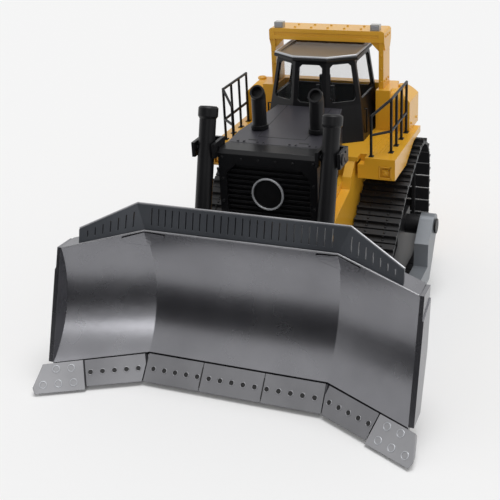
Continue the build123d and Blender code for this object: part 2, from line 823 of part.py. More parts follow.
# ---------------------------------------------------------------------------------------------
# Blade
# ---------------------------------------------------------------------------------------------
# the moldboard's face in side view: lip, foot of the curve, its middle and its top, at the crease
# and at the wing's end. Columns: y, z.
crease_section = ((-69.0, 2.2), (-64.3, 7.6), (-64.8, 8.8), (-54.8, 25.9), (-57.5, 49.0))
tip_section = ((-83.0, 2.2), (-78.3, 6.6), (-78.8, 7.8), (-66.2, 25.3), (-66.0, 43.4))


def leaning_plane(x, z, lean):
    """A side plane that leans outward by that angle as it rises from x at height z."""
    outward = copysign(sin(radians(lean)), x)
    return Plane(origin=(x, 0, z), x_dir=(0, 1, 0), z_dir=(cos(radians(lean)), 0, -outward))


def blade_section(plane, section):
    """One cross-section of the moldboard: arcs for the face and the back, and a flange along the top."""
    lip, foot, heel, middle, top = section
    skin = blade_skin
    back_top = (top[0] + skin, top[1] - flange_thickness)
    back_heel = (heel[0] + skin + 0.9, heel[1] - 1.2)
    with BuildSketch(plane) as face:
        with BuildLine():
            Polyline(lip, foot, heel)
            ThreePointArc(heel, middle, top)
            Polyline(top, (top[0] + flange_depth, top[1]), (top[0] + flange_depth, back_top[1]), back_top)
            ThreePointArc(back_top, (middle[0] + skin, middle[1]), back_heel)
            Polyline(back_heel, (lip[0] + skin, lip[1]), lip)
        make_face()
    return face.sketch


def along_wing(x):
    """The moldboard's outline points at a place on the wing, by straight lines from crease to end."""
    points = []
    for near, far in zip(crease_section, tip_section):
        start = crease_x + near[1] * tan(radians(crease_lean))
        share = (x - start) / (wing_x - start)
        points.append(tuple(a + share * (b - a) for a, b in zip(near, far)))
    return points


# centre of the blade's back in side view: a box beam along the foot, and ribs above it
beam_outline = (
    (-61.8, 7.8),
    (-62.9, 8.5),
    (-60.6, 11.5),
    (-58.1, 15.0),
    (beam_rear_y, 15.0),
    (beam_rear_y, 7.8),
)
# the same beam where the wing has drawn forward to the push arm's bracket
bracket_drop = (wing_x - edge_crease_x) / (crease_section[0][0] - tip_section[0][0])


def bracket_section(x):
    """The beam's outline where it carries the push arm."""
    shift = (abs(x) - edge_crease_x) / bracket_drop
    points = [(y - shift, z) for y, z in beam_outline[:4]]
    with BuildSketch(side_plane(x)) as section:
        Polygon(*points, (arm_front_y, 15.0), (arm_front_y, 7.8), align=None)
    return section.sketch


def lug(x, width, eye, foot, radius):
    """A flat lug in side view, round at its eye and at the two corners of its foot."""
    with BuildSketch(side_plane(x - width / 2)) as outline:
        with Locations(eye):
            Circle(radius)
        with Locations(*foot):
            Circle(radius / 3)
        make_hull()
    extrude(outline.sketch, amount=width)


# side view of a rib: up inside the skin to the flange, and down the free edge to the beam
rib_outline = (
    (-62.6, 9.0),
    (-57.0, 17.0),
    (-53.9, 26.0),
    (-53.2, 34.0),
    (-54.2, 42.0),
    (-55.9, 47.8),
    (-50.6, 47.8),
    (-49.8, 36.0),
    (-49.8, 25.0),
    (-52.6, 13.0),
)
crease_faces = [
    blade_section(leaning_plane(side * crease_x, 0, crease_lean), crease_section) for side in (-1, 1)
]
with BuildPart() as moldboard:
    loft(crease_faces, ruled=True)
    for side, crease_face in zip((-1, 1), crease_faces):
        loft([crease_face, blade_section(side_plane(side * wing_x), tip_section)], ruled=True)
    prism(side_plane(0), beam_outline, edge_crease_x, both=True)
    for x in rib_x:
        prism(
            side_plane(x),
            rib_outline,
            rib_thickness / 2,
            both=True,
        )
    for side in (-1, 1):
        with BuildSketch(side_plane(side * edge_crease_x)) as inner_end:
            Polygon(*beam_outline, align=None)
        loft([inner_end.sketch, bracket_section(side * (arm_inner_x - 0.6))], ruled=True)
        loft(
            [
                bracket_section(side * (arm_inner_x - 0.6)),
                bracket_section(side * (arm_inner_x + arm_width + 0.6)),
            ],
            ruled=True,
        )

# the lugs behind the beam that take the lift rods' eyes
with BuildPart() as lift_lugs:
    for side in (-1, 1):
        lug_reach = lift_eye_width / 2 + running_gap + lug_thickness / 2
        for reach in (-lug_reach, lug_reach):
            foot_y = beam_rear_y + lift_eye_radius / 3
            lug(side * lift_x + reach, lug_thickness, (lift_eye_y, lift_eye_z),
                ((foot_y, 8.8), (foot_y, 14.0)), lift_eye_radius)
        rod(side_plane(side * lift_x - lug_reach, lift_eye_y, lift_eye_z), lift_pin_radius, 2 * lug_reach)
        with Locations((side * lift_x, beam_rear_y, 11.4)):
            Box(2 * lug_reach + lug_thickness, lug_pad, 6.4, align=(Align.CENTER, Align.MIN, Align.CENTER))


def edge_section(x, thickness, bottom_z, outline=None):
    """A flat plate on the moldboard's foot, cut level at its lower end."""
    lip, foot = (outline or along_wing(x))[:2]
    run = Vector(foot[0] - lip[0], foot[1] - lip[1]).normalized()
    out = Vector(-run.Y, run.X) * thickness
    back = Vector(*lip) + run * ((bottom_z - lip[1]) / run.Y)
    front = Vector(*lip) + out + run * ((bottom_z - lip[1] - out.Y) / run.Y)
    top = Vector(*foot) + out
    with BuildSketch(side_plane(x)) as section:
        Polygon((back.X, back.Y), (front.X, front.Y), (top.X, top.Y), foot, lip, align=None)
    return section.sketch


# front view of an end bit: its slanted inner end, and the corner it turns out to
bit_outline = ((46.2, 0.5), (49.8, 8.6), (61.3, 8.6), (61.3, 7.4), (62.0, 2.5), (60.4, 0.5))
edge_outline = (
    (edge_seam, 0.5),
    (edge_seam, 6.0),
    (edge_seam + edge_corner, 9.0),
    (49.7, 9.0),
    (45.9, 0.5),
)
edge_ends = (-edge_crease_x, -10.5, 10.5, edge_crease_x)
with BuildPart() as wing_edge:
    edge_sides = [edge_section(x, edge_thickness, edge_bottom_z) for x in (edge_seam, 50.0)]
    loft(edge_sides, ruled=True)
    with BuildSketch(Plane.XZ):
        Polygon(*edge_outline, align=None)
    extrude(amount=100, mode=Mode.INTERSECT)
centre_edge = edge_section(0, edge_thickness, edge_bottom_z, crease_section)
with BuildPart() as cutting_edges:
    for start, end in zip(edge_ends, edge_ends[1:]):
        extrude(centre_edge.moved(Location((start + fit_gap, 0, 0))), amount=end - start - 2 * fit_gap)
    add(wing_edge.part)
    add(mirror(wing_edge.part, about=Plane.YZ))

with BuildPart() as end_bit:
    loft([edge_section(45.0, bit_thickness, bit_bottom_z), edge_section(62.2, bit_thickness, bit_bottom_z)],
         ruled=True)
    with BuildSketch(Plane.XZ):
        Polygon(*bit_outline, align=None)
    extrude(amount=100, mode=Mode.INTERSECT)
with BuildPart() as end_bits:
    add(end_bit.part)
    add(mirror(end_bit.part, about=Plane.YZ))

heel, top = tip_section[2], tip_section[4]
end_outline = (
    (heel[0], heel[1] + 0.2),
    (top[0], top[1]),
    (top[0] + flange_depth, top[1] - 0.4),
    (heel[0] + 2 * flange_depth, heel[1] + 16.0),
    (heel[0] + flange_depth, heel[1] + 0.2),
)
wear_share = 0.81  # of the end plate's height, that its wear plate covers
wear_outline = (
    end_outline[0],
    tuple(low + wear_share * (high - low) for low, high in zip(end_outline[0], end_outline[1])),
    tuple(low + wear_share * (high - low) for low, high in zip(end_outline[3], end_outline[2])),
    end_outline[3],
    end_outline[4],
)
with BuildPart() as end_plate:
    prism(side_plane(wing_x), end_outline, end_plate_thickness)
    prism(side_plane(wing_x + end_plate_thickness), wear_outline, end_wear_thickness)
with BuildPart() as end_plates:
    add(end_plate.part)
    add(mirror(end_plate.part, about=Plane.YZ))


def spill_section(plane, foot, height):
    """The guard above the moldboard's top edge, leaning back."""
    front, lean = foot[0] + spill_setback, spill_lean * height
    with BuildSketch(plane) as section:
        Polygon(
            (front, 0),
            (front + spill_thickness, 0),
            (front + spill_thickness + lean, height),
            (front + lean, height),
            align=None,
        )
    return section.sketch


crease_top = crease_section[4]
crease_top_x = crease_x + crease_top[1] * tan(radians(crease_lean))
wing_end_top = along_wing(spill_end_x)[4]
spill_creases = [
    spill_section(leaning_plane(side * crease_top_x, crease_top[1], spill_crease_lean), crease_top, spill_height)
    for side in (-1, 1)
]
spill_middle_y = crease_top[0] + spill_setback
slot_count = int(2 * crease_top_x / slot_pitch)
wing_slots = int((slot_end_x - crease_top_x) / slot_pitch)
with BuildPart() as spill_guard:
    loft(spill_creases, ruled=True)
    for side, crease_face in zip((-1, 1), spill_creases):
        end_plane = side_plane(side * spill_end_x, 0, wing_end_top[1])
        loft([crease_face, spill_section(end_plane, wing_end_top, spill_end_height)], ruled=True)
    for index in range(slot_count):
        x = (index - (slot_count - 1) / 2) * slot_pitch
        with Locations((x, spill_middle_y, crease_top[1] + slot_foot)):
            Box(slot_width, 20.0, spill_height - 2.2 * slot_foot, align=(Align.CENTER, Align.CENTER, Align.MIN),
                mode=Mode.SUBTRACT)
    for index in range(wing_slots):
        x = crease_top_x + (index + 1.6) * slot_pitch
        share = (x - crease_top_x) / (spill_end_x - crease_top_x)
        foot_z = crease_top[1] + share * (wing_end_top[1] - crease_top[1]) + slot_foot
        height = spill_height + share * (spill_end_height - spill_height) - 2.2 * slot_foot
        with Locations((x, spill_middle_y, foot_z), (-x, spill_middle_y, foot_z)):
            Box(slot_width, 20.0, height, align=(Align.CENTER, Align.CENTER, Align.MIN), mode=Mode.SUBTRACT)

# ---------------------------------------------------------------------------------------------
# Push arms and lift cylinders
# ---------------------------------------------------------------------------------------------
arm_outline = (
    (21.0, 28.0),
    (13.0, 21.6),
    (12.2, arm_top_z),
    (arm_front_y, arm_top_z),
    (arm_front_y, arm_bottom_z + 1.3),
    (arm_front_y + 6.0, arm_bottom_z),
    (16.0, arm_bottom_z),
    (27.2, 21.2),
)
with BuildPart() as push_arm:
    prism(side_plane(arm_inner_x), arm_outline, arm_width)
    rod(side_plane(arm_inner_x, trunnion_y, trunnion_z), arm_boss_radius, arm_width)
    rod(side_plane(arm_inner_x, trunnion_y, trunnion_z), trunnion_radius + fit_gap, arm_width, mode=Mode.SUBTRACT)


def cylinder_plane(x, pivot, eye, distance=0.0):
    """A plane on a cylinder's axis, that far from its pivot, facing the rod's eye."""
    pivot, eye = Vector(x, *pivot), Vector(x, *eye)
    toward = (eye - pivot).normalized()
    return Plane(origin=pivot + toward * distance, x_dir=(1, 0, 0), z_dir=toward)


def barrel(x, pivot, eye, head, tail, radius, bore, bore_depth):
    """A cylinder's barrel, from behind its pivot to its open end, with a rim round that end."""
    rod(cylinder_plane(x, pivot, eye, -head), radius, head + tail)
    rod(cylinder_plane(x, pivot, eye, tail - barrel_rim_length), radius + barrel_rim, barrel_rim_length)
    rod(cylinder_plane(x, pivot, eye, tail - bore_depth), bore, bore_depth, mode=Mode.SUBTRACT)


def piston_rod(x, pivot, eye, start, radius, eye_radius, eye_width, pin_radius):
    """A rod from inside its barrel to the eye that takes the far pin."""
    span = hypot(eye[0] - pivot[0], eye[1] - pivot[1])
    rod(cylinder_plane(x, pivot, eye, start), radius, span - start)
    rod(side_plane(x - eye_width / 2, *eye), eye_radius, eye_width)
    rod(side_plane(x - eye_width, *eye), pin_radius + eye_gap, 2 * eye_width, mode=Mode.SUBTRACT)


lift_pivot, lift_eye = (lift_trunnion_y, lift_trunnion_z), (lift_eye_y, lift_eye_z)
with BuildPart() as lift_barrel:
    rod(side_plane(guard_half_width + 0.2, *lift_pivot), lift_pin_radius,
        yoke_outer_x - guard_half_width - 0.4)
    barrel(lift_x, lift_pivot, lift_eye, lift_head_length, lift_tail_length, lift_barrel_radius,
           lift_bore_radius, lift_bore_depth)
    rod(cylinder_plane(lift_x, lift_pivot, lift_eye, -lift_head_length), lift_barrel_radius + barrel_rim,
        barrel_rim_length)
with BuildPart() as lift_rod:
    piston_rod(lift_x, lift_pivot, lift_eye, lift_tail_length - lift_rod_overlap,
               lift_rod_radius, lift_eye_radius, lift_eye_width, lift_pin_radius)

# ---------------------------------------------------------------------------------------------
# Ripper
# ---------------------------------------------------------------------------------------------
ripper_hinge = (ripper_hinge_y, ripper_hinge_z)
ripper_head, ripper_eye = (ripper_head_y, ripper_head_z), (ripper_eye_y, ripper_eye_z)
clevis_reach = ripper_eye_width / 2 + running_gap + lug_thickness / 2
arm_centre_x = ripper_lug_x + ripper_lug_width / 2 + running_gap + ripper_arm_width / 2


def clevis(x, eye, foot, radius):
    """Two lugs and their pin, for an eye between them."""
    for reach in (-clevis_reach, clevis_reach):
        lug(x + reach, lug_thickness, eye, foot, radius)
    rod(side_plane(x - clevis_reach, *eye), ripper_pin_radius, 2 * clevis_reach)


with BuildPart() as ripper_bracket:
    prism(
        side_plane(0),
        (
            (chassis_rear_y, chassis_bottom_z + 8.0),
            (chassis_rear_y + 2.0, chassis_bottom_z + 8.0),
            (chassis_rear_y + 2.0, 48.0),
            (chassis_rear_y, 48.0),
        ),
        ripper_lug_x + ripper_lug_width / 2,
        both=True,
    )
    for side in (-1, 1):
        lug(side * ripper_lug_x, ripper_lug_width, ripper_hinge,
            ((chassis_rear_y + 1.2, 17.5), (chassis_rear_y + 1.2, 30.5)), 3.0)
        clevis(side * ripper_cylinder_x, ripper_head,
               ((chassis_rear_y + 1.0, 41.0), (chassis_rear_y + 1.0, 47.0)), 2.2)
    rod(side_plane(-20, *ripper_hinge), ripper_pin_radius + fit_gap, 40, mode=Mode.SUBTRACT)

with BuildPart() as ripper_beam:
    for side in (-1, 1):
        lug(side * arm_centre_x, ripper_arm_width, ripper_hinge, ((72.0, 19.5), (72.0, 28.5)), 3.0)
        start = ripper_lug_x - ripper_lug_width / 2
        rod(side_plane(side * start, *ripper_hinge), ripper_pin_radius, side * (arm_centre_x - start))
        clevis(side * ripper_cylinder_x, ripper_eye, ((74.0, 26.0), (77.5, 27.0)), 2.2)
    with Locations((0, 75.5, ripper_hinge_z - 0.4)):
        Box(2 * arm_centre_x + ripper_arm_width, 8.0, 7.0)
    with Locations((0, 82.0, ripper_hinge_z)):
        Box(2.4 * shank_width, 10.0, 11.0)
    with Locations((0, 82.6, ripper_hinge_z)):
        Box(shank_width, 7.2, 11.0, mode=Mode.SUBTRACT)

with BuildPart() as ripper_shank:
    prism(
        side_plane(-shank_width / 2),
        (
            (79.2, 40.0),
            (86.0, 40.0),
            (86.0, 18.0),
            (shank_rear_y, 14.5),
            (86.8, 10.4),
            (79.5, shank_tip_z),
            (76.0, shank_tip_z + 0.6),
            (80.6, 11.4),
            (81.6, 14.5),
            (79.2, 18.0),
        ),
        shank_width,
    )

with BuildPart() as ripper_barrels:
    for side in (-1, 1):
        x = side * ripper_cylinder_x
        barrel(x, ripper_head, ripper_eye, -ripper_neck, ripper_barrel_length, ripper_barrel_radius,
               ripper_bore_radius, ripper_barrel_length - ripper_neck - 1.0)
        rod(cylinder_plane(x, ripper_head, ripper_eye), ripper_bore_radius, ripper_neck)
        rod(side_plane(x - ripper_eye_width / 2, *ripper_head), ripper_barrel_radius + 0.2, ripper_eye_width)
        rod(side_plane(x - ripper_eye_width / 2, *ripper_head), ripper_pin_radius + fit_gap, ripper_eye_width,
            mode=Mode.SUBTRACT)
with BuildPart() as ripper_rods:
    for side in (-1, 1):
        piston_rod(side * ripper_cylinder_x, ripper_head, ripper_eye, ripper_barrel_length - 5.0,
                   ripper_rod_radius, ripper_barrel_radius, ripper_eye_width, ripper_pin_radius)

# ---------------------------------------------------------------------------------------------
# Files
# ---------------------------------------------------------------------------------------------
# columns: node, part
single_parts = (
    ("chassis", chassis),
    ("radiator_guard", radiator_guard),
    ("lift_yokes", lift_yokes),
    ("badge", badge),
    ("hood", hood),
    ("deck", deck),
    ("fuel_tank", fuel_tank),
    ("rops", rops),
    ("cab_front", cab_front),
    ("cab_rear", cab_rear),
    ("cab_roof", cab_roof),
    ("cab_glass", cab_glass),
    ("seat", seat),
    ("console", console),
    ("moldboard", moldboard),
    ("lift_lugs", lift_lugs),
    ("spill_guard", spill_guard),
    ("blade_end_plates", end_plates),
    ("cutting_edges", cutting_edges),
    ("blade_end_bits", end_bits),
    ("ripper_bracket", ripper_bracket),
    ("ripper_beam", ripper_beam),
    ("ripper_shank", ripper_shank),
    ("ripper_barrels", ripper_barrels),
    ("ripper_rods", ripper_rods),
)
# columns: node without its side, left part
paired_parts = (
    ("track", track),
    ("sprocket", sprocket),
    ("track_frame", track_frame),
    ("side_frame", side_frame),
    ("exhaust", exhaust),
    ("fender", fender),
    ("handrail", handrail),
    ("cab_door", cab_door),
    ("push_arm", push_arm),
    ("lift_barrel", lift_barrel),
    ("lift_rod", lift_rod),
)
for node, piece in single_parts:
    save(node, piece.part)
for node, piece in paired_parts:
    save(f"{node}_left", piece.part)
    save(f"{node}_right", mirror(piece.part, about=Plane.YZ))
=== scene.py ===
"""Looks of the bulldozer display model: materials, small details, floor, light and camera."""
import json
import math
import bmesh
import bpy
from mathutils import Matrix, Vector
from mathutils.bvhtree import BVHTree


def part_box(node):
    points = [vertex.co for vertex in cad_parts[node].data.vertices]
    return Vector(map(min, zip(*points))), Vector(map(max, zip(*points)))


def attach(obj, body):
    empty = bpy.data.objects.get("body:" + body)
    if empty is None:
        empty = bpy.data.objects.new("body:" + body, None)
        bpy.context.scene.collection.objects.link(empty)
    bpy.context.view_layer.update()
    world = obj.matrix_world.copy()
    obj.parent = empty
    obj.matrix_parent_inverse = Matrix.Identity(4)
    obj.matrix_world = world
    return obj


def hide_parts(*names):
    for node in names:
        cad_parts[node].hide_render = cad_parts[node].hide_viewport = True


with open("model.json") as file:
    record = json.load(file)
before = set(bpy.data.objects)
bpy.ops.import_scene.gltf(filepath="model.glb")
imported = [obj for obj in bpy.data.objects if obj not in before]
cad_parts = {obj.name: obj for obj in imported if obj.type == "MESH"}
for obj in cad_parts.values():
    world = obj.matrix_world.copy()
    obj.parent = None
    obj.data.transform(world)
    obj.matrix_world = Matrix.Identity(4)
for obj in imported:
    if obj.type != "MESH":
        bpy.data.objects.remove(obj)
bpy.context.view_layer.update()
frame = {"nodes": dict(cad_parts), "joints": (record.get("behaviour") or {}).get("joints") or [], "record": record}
nodes = frame["nodes"]
joints = {joint["name"]: joint for joint in frame["joints"]}

MM = 0.001                      # the sizes below are in millimetres
FAR = 120.0                     # where a ray starts, well outside the machine
SIDES = ((1, "left"), (-1, "right"))
FORWARD, BACKWARD = (0, -1, 0), (0, 1, 0)
UP, DOWN = (0, 0, 1), (0, 0, -1)


def box_mm(node):
    """The low and high corner of a CAD node's box."""
    return tuple(Vector([round(value / MM, 3) for value in corner]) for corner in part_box(node))


# ------------------------------------------------------------------ camera
camera_data = bpy.data.cameras.new("camera")
camera_data.sensor_width = 36.0
camera_data.lens = 70.30
camera_data.shift_x = 0.0092
camera_data.shift_y = -0.1004
camera_data.clip_start = 0.01
camera = bpy.data.objects.new("camera", camera_data)
bpy.context.scene.collection.objects.link(camera)
camera_spot = Vector((110.14, -306.80, 174.02))
camera_right = Vector((0.92635, 0.37308, -0.05175))
camera_up = Vector((-0.09709, 0.36927, 0.92424))
camera_back = Vector((0.36393, -0.85114, 0.37830))
turn = Matrix((camera_right, camera_up, camera_back)).transposed().to_4x4()
camera.matrix_world = Matrix.Translation(camera_spot * MM) @ turn
bpy.context.scene.camera = camera


# ------------------------------------------------------------------ materials
def srgb(*values):
    """A colour in linear light from its 0 to 255 display values."""
    channels = [v / 255 for v in values]
    return tuple(c / 12.92 if c <= 0.04045 else ((c + 0.055) / 1.055) ** 2.4 for c in channels) + (1.0,)


CLOUD_SCALE, CLOUD_DETAIL, GRAIN_DETAIL = 60.0, 4.0, 3.0
TONE_START, TONE_END = 0.3, 0.7
GRAIN_STRENGTH, GRAIN_HEIGHT, SOFT_EDGE = 0.08, 0.1, 0.2
GLASS_ALPHA, SMEAR_SCALE, SMEAR_GLOSS = 0.08, 300.0, (0.03, 0.09)


def new_material(name):
    """A material with its node tree and its shader node."""
    material = bpy.data.materials.new(name)
    material.use_nodes = True
    return material, material.node_tree, material.node_tree.nodes["Principled BSDF"]


def noise(tree, place, scale, detail=2.0):
    """A cloud pattern that is fixed to the object."""
    pattern = tree.nodes.new("ShaderNodeTexNoise")
    pattern.inputs["Scale"].default_value = scale
    pattern.inputs["Detail"].default_value = detail
    tree.links.new(place.outputs["Object"], pattern.inputs["Vector"])
    return pattern


def uneven_gloss(tree, shader, pattern, low, high):
    """Roughness that goes from low to high with a pattern."""
    gloss = tree.nodes.new("ShaderNodeMapRange")
    gloss.inputs["To Min"].default_value = low
    gloss.inputs["To Max"].default_value = high
    tree.links.new(pattern.outputs["Fac"], gloss.inputs["Value"])
    tree.links.new(gloss.outputs["Result"], shader.inputs["Roughness"])


def finish_material(name, colour, shade, rough, metallic=0.0, coat=0.0, grain=900.0, spread=0.06,
                    specular=0.5):
    """A surface with soft edges and a fine grain: two tones of one colour, uneven gloss, a shallow bump."""
    material, tree, shader = new_material(name)
    place = tree.nodes.new("ShaderNodeTexCoord")
    broad = noise(tree, place, CLOUD_SCALE, CLOUD_DETAIL)
    tones = tree.nodes.new("ShaderNodeValToRGB")
    tones.color_ramp.elements[0].position = TONE_START
    tones.color_ramp.elements[0].color = shade
    tones.color_ramp.elements[1].position = TONE_END
    tones.color_ramp.elements[1].color = colour
    tree.links.new(broad.outputs["Fac"], tones.inputs["Fac"])
    tree.links.new(tones.outputs["Color"], shader.inputs["Base Color"])
    uneven_gloss(tree, shader, broad, rough - spread, rough + spread)
    relief = tree.nodes.new("ShaderNodeBump")
    relief.inputs["Strength"].default_value = GRAIN_STRENGTH
    relief.inputs["Distance"].default_value = GRAIN_HEIGHT * MM
    fine = noise(tree, place, grain, GRAIN_DETAIL)
    tree.links.new(fine.outputs["Fac"], relief.inputs["Height"])
    soft_edge = tree.nodes.new("ShaderNodeBevel")
    soft_edge.samples = 4
    soft_edge.inputs["Radius"].default_value = SOFT_EDGE * MM
    tree.links.new(soft_edge.outputs["Normal"], relief.inputs["Normal"])
    tree.links.new(relief.outputs["Normal"], shader.inputs["Normal"])
    shader.inputs["Metallic"].default_value = metallic
    shader.inputs["Coat Weight"].default_value = coat
    shader.inputs["Coat Roughness"].default_value = 0.2
    shader.inputs["Specular IOR Level"].default_value = specular
    return material


def glass_material(name, colour):
    """Thin clear plastic: it lets nearly all light through and keeps a shine."""
    material, tree, shader = new_material(name)
    shader.inputs["Base Color"].default_value = colour
    shader.inputs["Alpha"].default_value = GLASS_ALPHA
    smear = noise(tree, tree.nodes.new("ShaderNodeTexCoord"), SMEAR_SCALE)
    uneven_gloss(tree, shader, smear, *SMEAR_GLOSS)
    return material


def dull_material(name, colour):
    """A plain rough surface, for what is staged round the machine."""
    material, _, shader = new_material(name)
    shader.inputs["Base Color"].default_value = colour
    shader.inputs["Roughness"].default_value = 1.0
    return material


YELLOW = finish_material("yellow_paint", srgb(226, 170, 44), srgb(219, 160, 38), 0.34, coat=0.3)
BLACK = finish_material("black_paint", srgb(21, 21, 23), srgb(17, 17, 19), 0.36, specular=0.26)
HOOD = finish_material("hood_grey", srgb(52, 51, 57), srgb(44, 43, 49), 0.4)
TAN = finish_material("roof_tan", srgb(112, 101, 88), srgb(98, 88, 76), 0.38, coat=0.3)
BLADE = finish_material("blade_grey", srgb(136, 136, 140), srgb(124, 124, 128), 0.27, metallic=1.0,
                        grain=1400.0, spread=0.03)
GUARD = finish_material("guard_grey", srgb(78, 81, 86), srgb(66, 69, 74), 0.4, metallic=0.5)
# worn steel; on the rims along the guard and the flange and on the edge bolts' rims it is a painted highlight
EDGE = finish_material("worn_steel", srgb(160, 160, 163), srgb(144, 144, 147), 0.34, metallic=0.8)
PLATE = finish_material("edge_grey", srgb(132, 132, 135), srgb(116, 116, 119), 0.36, metallic=0.8)
ARM = finish_material("arm_paint", srgb(132, 136, 141), srgb(120, 124, 129), 0.38, metallic=0.4)
TRACK = finish_material("track_steel", srgb(34, 34, 36), srgb(27, 27, 29), 0.45, metallic=0.25, specular=0.35)
RIM = finish_material("sprocket_grey", srgb(104, 104, 108), srgb(92, 92, 96), 0.42, metallic=0.5)
ROD = finish_material("rod_steel", srgb(212, 212, 215), srgb(200, 200, 203), 0.16, metallic=1.0)
INTERIOR = finish_material("interior", srgb(30, 30, 32), srgb(24, 24, 26), 0.6)
# light grey trim, and the painted highlight on the end bits' bolt rims
PALE = finish_material("light_grey_trim_and_highlight", srgb(190, 192, 196), srgb(176, 178, 182), 0.35, metallic=0.5)
# a black used only as painted shade: in the edge bolts' holes, the gaps between edge plates, the guard's notches
# and the hood's seams and slots
SHADE_BLACK = finish_material("painted_shade_black", srgb(12, 12, 13), srgb(8, 8, 9), 0.6)
LENS = finish_material("lamp_lens", srgb(158, 156, 150), srgb(138, 136, 130), 0.2, coat=0.6)
GLASS = glass_material("window_glass", srgb(60, 64, 66))

# the finish of each CAD slot
slot_finish = {
    "yellow_paint": YELLOW,
    "black_paint": BLACK,
    "roof_tan": TAN,
    "blade_grey": BLADE,
    "arm_paint": ARM,
    "worn_steel": EDGE,
    "track_steel": TRACK,
    "rod_steel": ROD,
    "interior": INTERIOR,
    "window_glass": GLASS,
}
# the nodes that have another finish than their slot's
node_finish = {
    "hood": HOOD,
    "spill_guard": GUARD,
    "sprocket_left": RIM,
    "sprocket_right": RIM,
    "cutting_edges": PLATE,
}
# the slot of each finish that the pieces below have
finish_slot = {finish: slot for slot, finish in slot_finish.items()}
finish_slot[HOOD] = "black_paint"
finish_slot[SHADE_BLACK] = "black_paint"
finish_slot[PALE] = "rod_steel"

for entry in frame["record"]["subparts"]:
    mesh = nodes[entry["node"]].data
    mesh.materials.clear()
    mesh.materials.append(node_finish.get(entry["node"], slot_finish[entry["material_slot"]]))

# ------------------------------------------------------------------ places on the machine
surfaces = {}


def touch(node, start, way):
    """Where a ray first meets a CAD node, and the surface's outward direction there."""
    if node not in surfaces:
        mesh = nodes[node].data
        points = [vertex.co for vertex in mesh.vertices]
        surfaces[node] = BVHTree.FromPolygons(points, [polygon.vertices for polygon in mesh.polygons])
    way = Vector(way).normalized()
    spot, normal, _, _ = surfaces[node].ray_cast(Vector(start) * MM, way)
    if normal.dot(way) > 0:
        normal = -normal
    return spot / MM, normal


def facing(spot, normal, up=UP):
    """A place on a surface: its third axis out of the surface, its second as near to up as it can be."""
    out = Vector(normal).normalized()
    up = Vector(up)
    if abs(out.dot(up)) > 0.99:
        up = Vector(BACKWARD)
    across = up.cross(out).normalized()
    matrix = Matrix((across, out.cross(across), out)).transposed().to_4x4()
    return Matrix.Translation(Vector(spot)) @ matrix


def from_front(node, x, z):
    """The place on a node's front at this x and z."""
    return facing(*touch(node, (x, -FAR, z), BACKWARD))


def mirrored(half):
    """A line's points from right to left, from its left half."""
    return [(-x, y, z) for x, y, z in half] + [tuple(point) for point in reversed(half)]


# ------------------------------------------------------------------ shapes
def circle(place, radius, height, sides):
    """Points round a place's third axis, at a height above it."""
    angles = [2 * math.pi * index / sides for index in range(sides)]
    return [place @ Vector((radius * math.cos(angle), radius * math.sin(angle), height)) for angle in angles]


def skin(shape, rings, back_to_start=False):
    """Join rings of as many points each. The ends are closed, unless the last ring goes back to the first."""
    rings = [[shape.verts.new(point) for point in points] for points in rings]
    following = rings[1:] + rings[:1] if back_to_start else rings[1:]
    for low, high in zip(rings, following):
        for index in range(len(low)):
            beside = (index + 1) % len(low)
            shape.faces.new((low[index], low[beside], high[beside], high[index]))
    if not back_to_start:
        shape.faces.new(rings[0][::-1])
        shape.faces.new(rings[-1])


def turned(shape, place, profile, sides=12):
    """A solid turned form from rings of a radius and a height."""
    skin(shape, [circle(place, radius, height, sides) for radius, height in profile])


def ring(shape, place, profile, sides=32):
    """A turned form that is open in the middle: its outline goes round and back to its start."""
    skin(shape, [circle(place, radius, height, sides) for radius, height in profile], back_to_start=True)


def slab(shape, place, width, height, depth, edge=0.15, foot=0.1):
    """A plate on a surface, let in by its foot, with a bevelled front edge."""
    rings = []
    for inset, level in ((0, -foot), (0, depth - edge), (edge, depth)):
        half_w, half_h = width / 2 - inset, height / 2 - inset
        corners = ((-half_w, -half_h), (half_w, -half_h), (half_w, half_h), (-half_w, half_h))
        rings.append([place @ Vector((x, y, level)) for x, y in corners])
    skin(shape, rings)


def tube(shape, points, radius, sides=8):
    """A bent bar through the points."""
    points = [Vector(point) for point in points]
    rings = []
    side = None
    for index, point in enumerate(points):
        before, after = points[max(index - 1, 0)], points[min(index + 1, len(points) - 1)]
        along = (after - before).normalized()
        if side is None:
            side = along.orthogonal().normalized()
        side = (side - along * side.dot(along)).normalized()
        other = along.cross(side)
        angles = [2 * math.pi * k / sides for k in range(sides)]
        rings.append([point + (side * math.cos(a) + other * math.sin(a)) * radius for a in angles])
    skin(shape, rings)


def hex_bolt(shape, place, radius, height):
    """A washer and a six-sided head."""
    turned(shape, place, ((radius * 1.25, -0.1), (radius * 1.25, 0.12), (radius, 0.12)))
    turned(shape, place, ((radius, 0.05), (radius, height - 0.1), (radius * 0.8, height)), sides=6)


# radius and height of the bolts
FINE_BOLT, SMALL_BOLT, BOLT, BIG_BOLT = (0.34, 0.35), (0.36, 0.35), (0.4, 0.4), (0.42, 0.4)


def ringed_bolt(rims, heads, place, radius):
    """A flush bolt: a low light rim round a dark dish, the rim's light colour a painted highlight and the dish's
    dark one painted shade in the hole.
    """
    ring(rims, place, ((radius, -0.1), (radius, 0.1), (radius * 0.9, 0.18), (radius * 0.78, 0.18),
                       (radius * 0.72, 0.02), (radius * 0.72, -0.1)), sides=20)
    turned(heads, place, ((radius * 0.76, -0.05), (radius * 0.76, 0.03), (radius * 0.6, 0.03)), sides=20)


